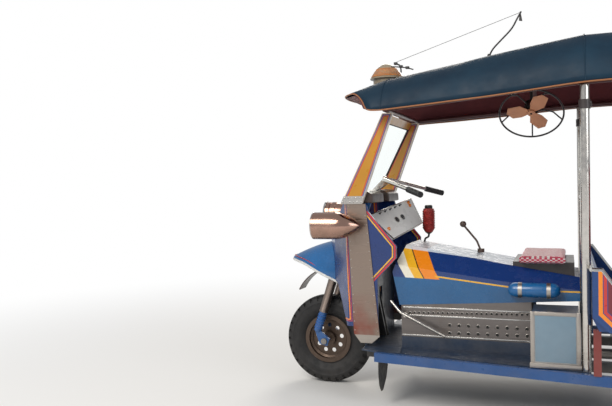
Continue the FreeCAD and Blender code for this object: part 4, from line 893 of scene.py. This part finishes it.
CLAMP = ((-0.022, 0.0224), (-0.022, 0.0265), (0.022, 0.0265), (0.022, 0.0224))
shape = bmesh.new()
for way in sides:
    side = way * POST_SIDE
    join(shape, turned_part(CLAMP, 32, (POST_AHEAD, side, CLAMP_UP), up_way, closed=True))
    join(shape, block((-0.176, side - 0.006, CLAMP_UP - 0.012), (-0.168, side + 0.006, CLAMP_UP + 0.012)))
put("post_clamps", shape, sprayed("clamp_paint", (0.03, 0.02, 0.02), 0.5, 0.0))

# %% [markdown]
# Rivets hold the steel strips and the bands at the pillars' feet. One low dome is repeated along
# lines given by their two ends.

# %% Bands and rivets
def rivets(name, lines, side, finish, radius=0.0042):
    """Domes along lines of (start, end, count) on the outer face at a side, and mirrored."""
    shape = bmesh.new()
    for start, end, count in lines:
        for k in range(count):
            share = k / (count - 1)
            x, z = (a + (b - a) * share for a, b in zip(start, end))
            for way in sides:
                place = Matrix.Translation((x, way * side, z)) @ Matrix.Diagonal((1, 0.5, 1, 1))
                bmesh.ops.create_uvsphere(shape, u_segments=8, v_segments=5, radius=radius, matrix=place)
    put(name, shape, finish, 80)


FOOT_BAND = ((1.132, 1.110), (1.006, 1.110), (0.990, 1.152), (1.112, 1.152))
EDGE_BAND = ((0.990, 1.152), (0.999, 1.152), (0.831, 1.600), (0.825, 1.600))
shape = bmesh.new()
for way in sides:
    join(shape, plate(FOOT_BAND, way * 0.3682, way * 0.3700))
    join(shape, plate(EDGE_BAND, way * 0.3682, way * 0.3695))
put("pillar_bands", shape, bare_steel("band_steel", (0.46, 0.44, 0.42), 0.34))
foot_lines = (((1.118, 1.120), (1.014, 1.120), 6), ((1.106, 1.143), (1.000, 1.143), 6))
strip_lines = (((1.090, 1.096), (1.062, 0.40), 15), ((0.998, 1.090), (0.930, 0.40), 15))
rivets("pillar_rivets", foot_lines, 0.3700, bright)
rivets("strip_rivets", strip_lines, 0.3580, dull, 0.0035)

# %% [markdown]
# The lamps are bullet shells. Their rims are brighter than the barrels, so each gets its own
# turned ring. A third lamp stands on the bonnet. It has the same rim and a short barrel.

# %% Lamp rims and the bonnet lamp
RIM = (
    (-0.006, 0.0700), (-0.004, 0.0742), (0.000, 0.0755), (0.004, 0.0742), (0.005, 0.0700), (0.000, 0.0680),
)
BARREL = (
    (0.000, 0.0), (0.000, 0.045), (0.020, 0.058), (0.105, 0.066), (0.107, 0.070), (0.132, 0.070),
    (0.134, 0.064), (0.140, 0.064), (0.143, 0.069), (0.172, 0.069), (0.172, 0.062), (0.145, 0.058),
    (0.145, 0.0),
)
LENS_DISH = ((0.0, 0.061), (0.006, 0.061), (0.014, 0.052), (0.020, 0.032), (0.022, 0.0), (0.0, 0.0))
BONNET_LAMP_UP = 1.042
lamps = ((1.266, 0.4336, 0.990), (1.266, -0.4336, 0.990), (1.337, 0, BONNET_LAMP_UP))
put("lamp_rims", gathered(turned_part(RIM, 48, lamp, closed=True) for lamp in lamps), bright)
put("bonnet_lamp", turned_part(BARREL, 48, (1.165, 0, BONNET_LAMP_UP)), copper)
put("bonnet_lamp_lens", turned_part(LENS_DISH, 48, (1.3105, 0, BONNET_LAMP_UP)), glass)

# %% [markdown]
# The instrument box is a white plate turned to the driver, with two small dials, warning lamps,
# toggle switches and a trim bead. A place on it is given by its share along and down the plate,
# so everything follows the plate's twist.

# %% Instruments
PLATE_TOP = (Vector((1.004, 0.230, 1.038)), Vector((0.838, -0.130, 1.126)))
PLATE_LOW = (Vector((0.864, 0.230, 0.906)), Vector((0.768, -0.130, 0.976)))
DIAL = ((0, 0), (0, 0.015), (0.002, 0.015), (0.003, 0.0))
DIAL_RIM = ((0, 0.015), (0, 0.0185), (0.005, 0.0175), (0.005, 0.015))
LAMP = ((0, 0), (0, 0.011), (0.007, 0.009), (0.011, 0.004), (0.012, 0))
TOGGLE = ((0, 0), (0, 0.006), (0.004, 0.006), (0.004, 0.002), (0.018, 0.0035), (0.019, 0))
DIAL_SHARES, LAMP_PLACES = (0.42, 0.58), ((0.10, 0.66), (0.90, 0.10), (0.90, 0.22))


def on_plate(share, down):
    """A point on the instrument plate."""
    return PLATE_TOP[0].lerp(PLATE_TOP[1], share).lerp(PLATE_LOW[0].lerp(PLATE_LOW[1], share), down)


def plate_frame(share, down):
    along = on_plate(min(share + 0.05, 1), down) - on_plate(share - 0.05, down)
    falling = on_plate(share, down + 0.05) - on_plate(share, down - 0.05)
    outward = falling.cross(along).normalized()
    if outward.x > 0:
        outward = -outward
    return aim(on_plate(share, down) + outward * 0.0005, outward)


dark_face = sprayed("dial_dark", (0.012, 0.012, 0.014), 0.25, 0.0)
amber = Finish("amber_plastic", (0.85, 0.24, 0.015), 0.25, transmission_weight=0.2, coat_weight=0.5)
amber.colour(amber.blend(amber.span(amber.noise(40, 3), 0.3, 0.7), (0.70, 0.17, 0.01), (0.90, 0.30, 0.02)))
amber.bump(amber.noise(300, 2), 0.0004, 0.3)
faces, rims, bulbs, toggles = (bmesh.new() for _ in range(4))
for share in DIAL_SHARES:
    join(faces, lathe(DIAL, 32), plate_frame(share, 0.50))
    join(rims, lathe(DIAL_RIM, 32, closed=True), plate_frame(share, 0.50))
for share, down in LAMP_PLACES:
    join(bulbs, lathe(LAMP, 24), plate_frame(share, down))
for k in range(5):
    join(toggles, lathe(TOGGLE, 12), plate_frame(0.20 + 0.12 * k, 0.08))
outline = [on_plate(share, down) for share, down in ((0, 0), (1, 0), (1, 1), (0, 1), (0, 0))]
pipe(rims, outline, 0.004, straight=True)
put("dial_faces", faces, dark_face)
put("dial_rims", rims, bright)
put("warning_lamps", bulbs, amber)
put("toggle_switches", toggles, dark_face)

# %% [markdown]
# Behind the windscreen's foot lies a padded cover in brown-black vinyl, in two halves beside the
# steering stem. It is a rounded hump, so a short outline is extruded, bevelled and subdivided.

# %% Padded cover behind the windscreen
HUMP = ((1.082, 1.1095), (1.048, 1.176), (1.004, 1.188), (0.958, 1.160), (0.955, 1.1095))
cover_hide = hide_finish("cover_vinyl", (0.030, 0.016, 0.012), (0.060, 0.034, 0.026))
shape = gathered(plate(HUMP, low, high) for low, high in ((0.062, 0.330), (-0.330, -0.062)))
soften(shape, 0.010)
dash_cover = put("dash_cover", shape, cover_hide, 80)
finer = dash_cover.modifiers.new("finer", "SUBSURF")
finer.levels = finer.render_levels = 2

# %% [markdown]
# The rubber horn bulb stands on a bent stalk beside the driver's knee: a red ribbed body with a
# black cap. It is a turned profile, and its colour changes with height.

# %% Horn bulb
HORN_FOOT = (0.760, -0.148)
bulb_profile = [(0.905, 0.0), (0.905, 0.009), (0.915, 0.022), (0.935, 0.034)]
for k in range(8):
    bulb_profile += [(0.942 + 0.014 * k, 0.038), (0.948 + 0.014 * k, 0.038), (0.951 + 0.014 * k, 0.0345)]
bulb_profile += [(1.060, 0.032), (1.064, 0.024), (1.078, 0.0235), (1.083, 0.019), (1.084, 0.0)]
shape = turned_part(bulb_profile, 36, (0.742, -0.200, 0), up_way)
stalk = [(0.742, -0.200, 0.912), (0.741, -0.200, 0.890), (0.748, -0.170, 0.884), (0.758, -0.148, 0.880)]
pipe(shape, stalk + [(*HORN_FOOT, 0.850)], 0.006)
flange = ((0, 0), (0, 0.015), (0.005, 0.013), (0.006, 0))
join(shape, turned_part(flange, 24, (*HORN_FOOT, 0.8515), (0.17, 0, 1)))
bulb = rubber("bulb_rubber", (0.30, 0.020, 0.018), 0.45, 0.0)
worn = bulb.span(bulb.noise(30, 4), 0.3, 0.7)
red_part = bulb.blend(worn, (0.24, 0.014, 0.012), (0.40, 0.030, 0.025))
black = bulb.math("MAXIMUM", bulb.math("GREATER_THAN", bulb.z, 1.062), bulb.math("LESS_THAN", bulb.z, 0.916))
bulb.colour(bulb.blend(black, red_part, (0.015, 0.014, 0.014)))
put("horn_bulb", shape, bulb)

# %% [markdown]
# The steel guards beside the engine are pressed with rails and punched with rows of holes. The
# holes show the bay behind in deep shade, so each is a near-black disc of painted shade with a turned edge,
# set on both sides.

# %% Guard rails and holes
HOLE_ROWS = (  # first hole ahead, height, last hole ahead, height, count, radius
    (0.760, 0.502, 0.140, 0.519, 25, 0.0060), (0.543, 0.443, 0.141, 0.443, 9, 0.0080),
    (0.544, 0.399, 0.141, 0.406, 9, 0.0080),
)
RAILS = ((0.805, 0.484), (0.805, 0.374), (0.800, 0.528))  # front end, foot
GUARD_SIDE = 0.3000
holes, edges, rails = (bmesh.new() for _ in range(3))
for x1, z1, x2, z2, count, radius in HOLE_ROWS:
    for k in range(count):
        share = k / (count - 1)
        for way in sides:
            x, z = x1 + (x2 - x1) * share, z1 + (z2 - z1) * share
            place = aim((x, way * (GUARD_SIDE + 0.0003), z), (0, way, 0))
            join(holes, lathe(((0, 0), (0, radius), (0.0006, radius), (0.0006, 0)), 14), place)
            join(edges, lathe(((0, radius), (0.0016, radius), (0, radius + 0.0022)), 14, closed=True), place)
for front, foot in RAILS:
    for way in sides:
        near, far = sorted((way * GUARD_SIDE, way * (GUARD_SIDE + 0.0045)))
        join(rails, block((0.120, near, foot), (front, far, foot + 0.008), 0.0016))
# Near-black discs: painted shade in place of the shaded bay seen through the holes.
put("guard_hole_shade_discs", holes, sprayed("painted_bay_shade", (0.008, 0.007, 0.006), 0.8, 0.0))
put("guard_hole_edges", edges, dull)
put("guard_rails", rails, bright)

# %% [markdown]
# The fork's legs wear long steel covers with a rolled rim at the foot, in place of the plain
# ones, and below them the ribs of their blue dust sleeves. They are turned along the steering
# axis, which leans back, so they ride on the steering and follow it.

# %% Fork covers and ribs
RAKE, LEG_AHEAD, LEG_SIDE = math.radians(18.3), 0.042, 0.108
RIB_LOW, RIB_STEP = 0.070, 0.0165
COVER = (
    (0.174, 0.0236), (0.174, 0.0270), (0.180, 0.0275), (0.184, 0.0255), (0.470, 0.0280),
    (0.4775, 0.0280), (0.4775, 0.0236),
)
RIB = ((-0.004, 0.0231), (-0.002, 0.0265), (0.002, 0.0265), (0.004, 0.0231))
steering_frame = Matrix.Translation((1.350, 0, 0.270)) @ Matrix.Rotation(-RAKE, 4, "Y")
covers, ribs = (bmesh.new() for _ in range(2))
for way in sides:
    leg = steering_frame @ Matrix.Translation((LEG_AHEAD, way * LEG_SIDE, 0))
    join(covers, lathe(COVER, 36, closed=True), leg)
    for k in range(6):
        join(ribs, lathe(RIB, 24, closed=True), leg @ Matrix.Translation((0, 0, RIB_LOW + RIB_STEP * k)))
rib_blue = sprayed("rib_paint", (0.015, 0.12, 0.42), 0.4, 0.4)
put("fork_ribs", ribs, rib_blue, body="steering")
brown_steel = bare_steel("cover_brown", (0.34, 0.27, 0.23), 0.36)
tubes = put("fork_cover_tubes", covers, brown_steel, body="steering")
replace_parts(tubes, "fork_covers")

# %% [markdown]
# Two more rigid pieces stand in the place of plainer nodes: a round-ended gas cylinder, whose
# straps hold it to the middle cover, and the wide pointed mud flaps under the floor.

# %% Gas cylinder and mud flaps
CYLINDER = (
    (-0.026, 0.0), (-0.026, 0.012), (-0.018, 0.026), (-0.002, 0.036), (0.010, 0.038), (0.196, 0.038),
    (0.210, 0.035), (0.224, 0.024), (0.231, 0.010), (0.231, 0.0),
)
STRAP = ((-0.010, 0.0383), (-0.010, 0.0398), (0.010, 0.0398), (0.010, 0.0383))
CYLINDER_SIDE, CYLINDER_UP = 0.352, 0.655
cylinder_blue = sprayed("cylinder_paint", (0.008, 0.13, 0.36), 0.28, 0.1)
cylinder = turned_part(CYLINDER, 48, (0, CYLINDER_SIDE, CYLINDER_UP))
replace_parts(put("gas_cylinder", cylinder, cylinder_blue), "gas_tank")
shape = bmesh.new()
for ahead in (0.030, 0.170):
    join(shape, turned_part(STRAP, 40, (ahead, CYLINDER_SIDE, CYLINDER_UP), closed=True))
    join(shape, block((ahead - 0.010, 0.3045, 0.647), (ahead + 0.010, 0.318, 0.663)))
put("cylinder_straps", shape, dull)

FLAP = (  # side, up
    (0.272, 0.2495), (0.262, 0.190), (0.300, 0.130), (0.372, 0.081), (0.404, 0.080), (0.440, 0.120),
    (0.458, 0.190), (0.456, 0.2495),
)
shape = gathered(slab([(0.900, way * y, z) for y, z in FLAP], (0.0055, 0, 0)) for way in sides)
flap_rubber = rubber("flap_rubber", rough=0.6)
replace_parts(put("flap_sheets", shape, flap_rubber), "mud_flaps")

# %% [markdown]
# On the roof stands a domed lamp with a brim and stacked amber slats on one side, and behind it
# the bent whip. A taut string runs from a clamped bracket to the whip's tip. The string is a
# curve of its own, so that its length stays known.

# %% Roof lamp and whip
LAMP_AHEAD, LAMP_SIDE = 0.920, 0.100
DOME = (  # up, radius
    (1.790, 0.0), (1.790, 0.078), (1.826, 0.078), (1.828, 0.096), (1.834, 0.0965), (1.837, 0.092),
    (1.850, 0.086), (1.872, 0.073), (1.894, 0.054), (1.910, 0.033), (1.917, 0.016), (1.9185, 0.0),
)
dome_plastic = sprayed("dome_shell", (0.30, 0.24, 0.16), 0.35, 0.0)
dome = turned_part(DOME, 56, (LAMP_AHEAD, LAMP_SIDE, 0), up_way)
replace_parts(put("roof_lamp_dome", dome, dome_plastic), "roof_lamp")
shape = bmesh.new()
for k in range(6):
    narrower = 0.0055 * k
    slat = ((-0.002, 0.0905 - narrower), (0.000, 0.0935 - narrower), (0.003, 0.0915 - narrower))
    ring = lathe(slat, 64, closed=True)
    far = [vert for vert in ring.verts if vert.co.x + vert.co.y < 0.02]
    bmesh.ops.delete(ring, geom=far, context="VERTS")
    bmesh.ops.holes_fill(ring, edges=ring.edges, sides=4)
    place = Matrix.Translation((LAMP_AHEAD, LAMP_SIDE, 1.842 + 0.0082 * k))
    join(shape, ring, place @ Matrix.Rotation(math.radians(60), 4, "Z"))
put("roof_lamp_slats", shape, amber, 60)

WHIP_SIDE = 0.200
WHIP = ((0.326, 1.893), (0.318, 1.925), (0.268, 1.975), (0.205, 2.035), (0.180, 2.085), (0.158, 2.122))
WHIP_FOOT = ((0, 0), (0, 0.016), (0.010, 0.014), (0.030, 0.008), (0.032, 0))
WHIP_FLAG = ((0.152, 2.070), (0.160, 2.116), (0.166, 2.116), (0.170, 2.074))
BRACKET = ((0.812, 1.846), (0.812, 1.885), (0.838, 1.897), (0.852, 1.903))
STAY = ((0.742, 1.858), (0.800, 1.880), (0.868, 1.882))
CLAMPS = ((0.812, 1.880), (0.842, 1.899), (0.775, 1.871))
STRING_START, STRING_END = Vector((0.852, WHIP_SIDE, 1.903)), Vector((0.160, WHIP_SIDE, 2.118))
STRING_THICK = 0.0026


def above_whip(points):
    """Points of (ahead, up) in the whip's upright plane."""
    return [(x, WHIP_SIDE, z) for x, z in points]


whip_black = rubber("whip_black", (0.02, 0.018, 0.018), 0.5, 0.0)
shape = bmesh.new()
pipe(shape, above_whip(WHIP), 0.0045)
join(shape, turned_part(WHIP_FOOT, 24, (WHIP[0][0], WHIP_SIDE, 1.880), up_way))
join(shape, plate(WHIP_FLAG, WHIP_SIDE - 0.0015, WHIP_SIDE + 0.0015))
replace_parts(put("bent_whip", shape, whip_black), "antenna")
shape = bmesh.new()
pipe(shape, above_whip(BRACKET), 0.0045)
pipe(shape, above_whip(STAY), 0.0035)
half = Vector((0.010, 0.010, 0.007))
for spot in above_whip(CLAMPS):
    join(shape, block(Vector(spot) - half, Vector(spot) + half, 0.002))
put("string_bracket", shape, whip_black)

line = bpy.data.curves.new("whip_string", "CURVE")
line.dimensions = "3D"
line.bevel_depth = STRING_THICK / 2
run = line.splines.new("NURBS")
run.points.add(4)
for control, share in zip(run.points, (0, 0.25, 0.5, 0.75, 1)):
    control.co = (*STRING_START.lerp(STRING_END, share), 1)
run.order_u = 3
run.use_endpoint_u = True
line.materials.append(whip_black.material)
string = bpy.data.objects.new("whip_string", line)
bpy.context.scene.collection.objects.link(string)
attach(string, "chassis")

# %% [markdown]
# The steel strips are brown-grey, brushed, and turn reddish towards their feet, where old red
# paint shows through. The battery box is a pale blue panel in a steel frame.

# %% Strips and battery box
strip = bare_steel("strip_steel", (0.30, 0.235, 0.195), 0.34)
steel_base = strip.shader.inputs["Base Color"].links[0].from_socket
redden = strip.times(strip.span(strip.z, 0.42, 0.62, 0.75, 0.0), strip.span(strip.noise(5, 3), 0.35, 0.6))
reddened = strip.blend(redden, steel_base, (0.26, 0.045, 0.030))
strip.colour(strip.blend(strip.math("LESS_THAN", strip.z, 0.375), reddened, (0.42, 0.38, 0.34)))
dress(strip, "cowl_strips")

BOX_FACE = 0.5562
BOX_RAILS = (  # rear, front, foot, top, outer face
    (-0.118, -0.100, 0.308, 0.582, 0.5612), (0.094, 0.112, 0.308, 0.582, 0.5612),
    (-0.100, 0.094, 0.566, 0.582, 0.5612), (-0.122, 0.116, 0.308, 0.332, 0.5650),
)
panel = sprayed("box_panel_paint", (0.20, 0.30, 0.38), 0.4, 0.3)
panel.bump(panel.noise(5, 3), 0.003, 0.3)
door = block((-0.096, BOX_FACE, 0.338), (0.090, 0.5580, 0.562), 0.0008)
put("box_door", door, panel)
rails = (block((rear, BOX_FACE, foot), (front, face, top)) for rear, front, foot, top, face in BOX_RAILS)
put("box_rails", gathered(rails), dull)
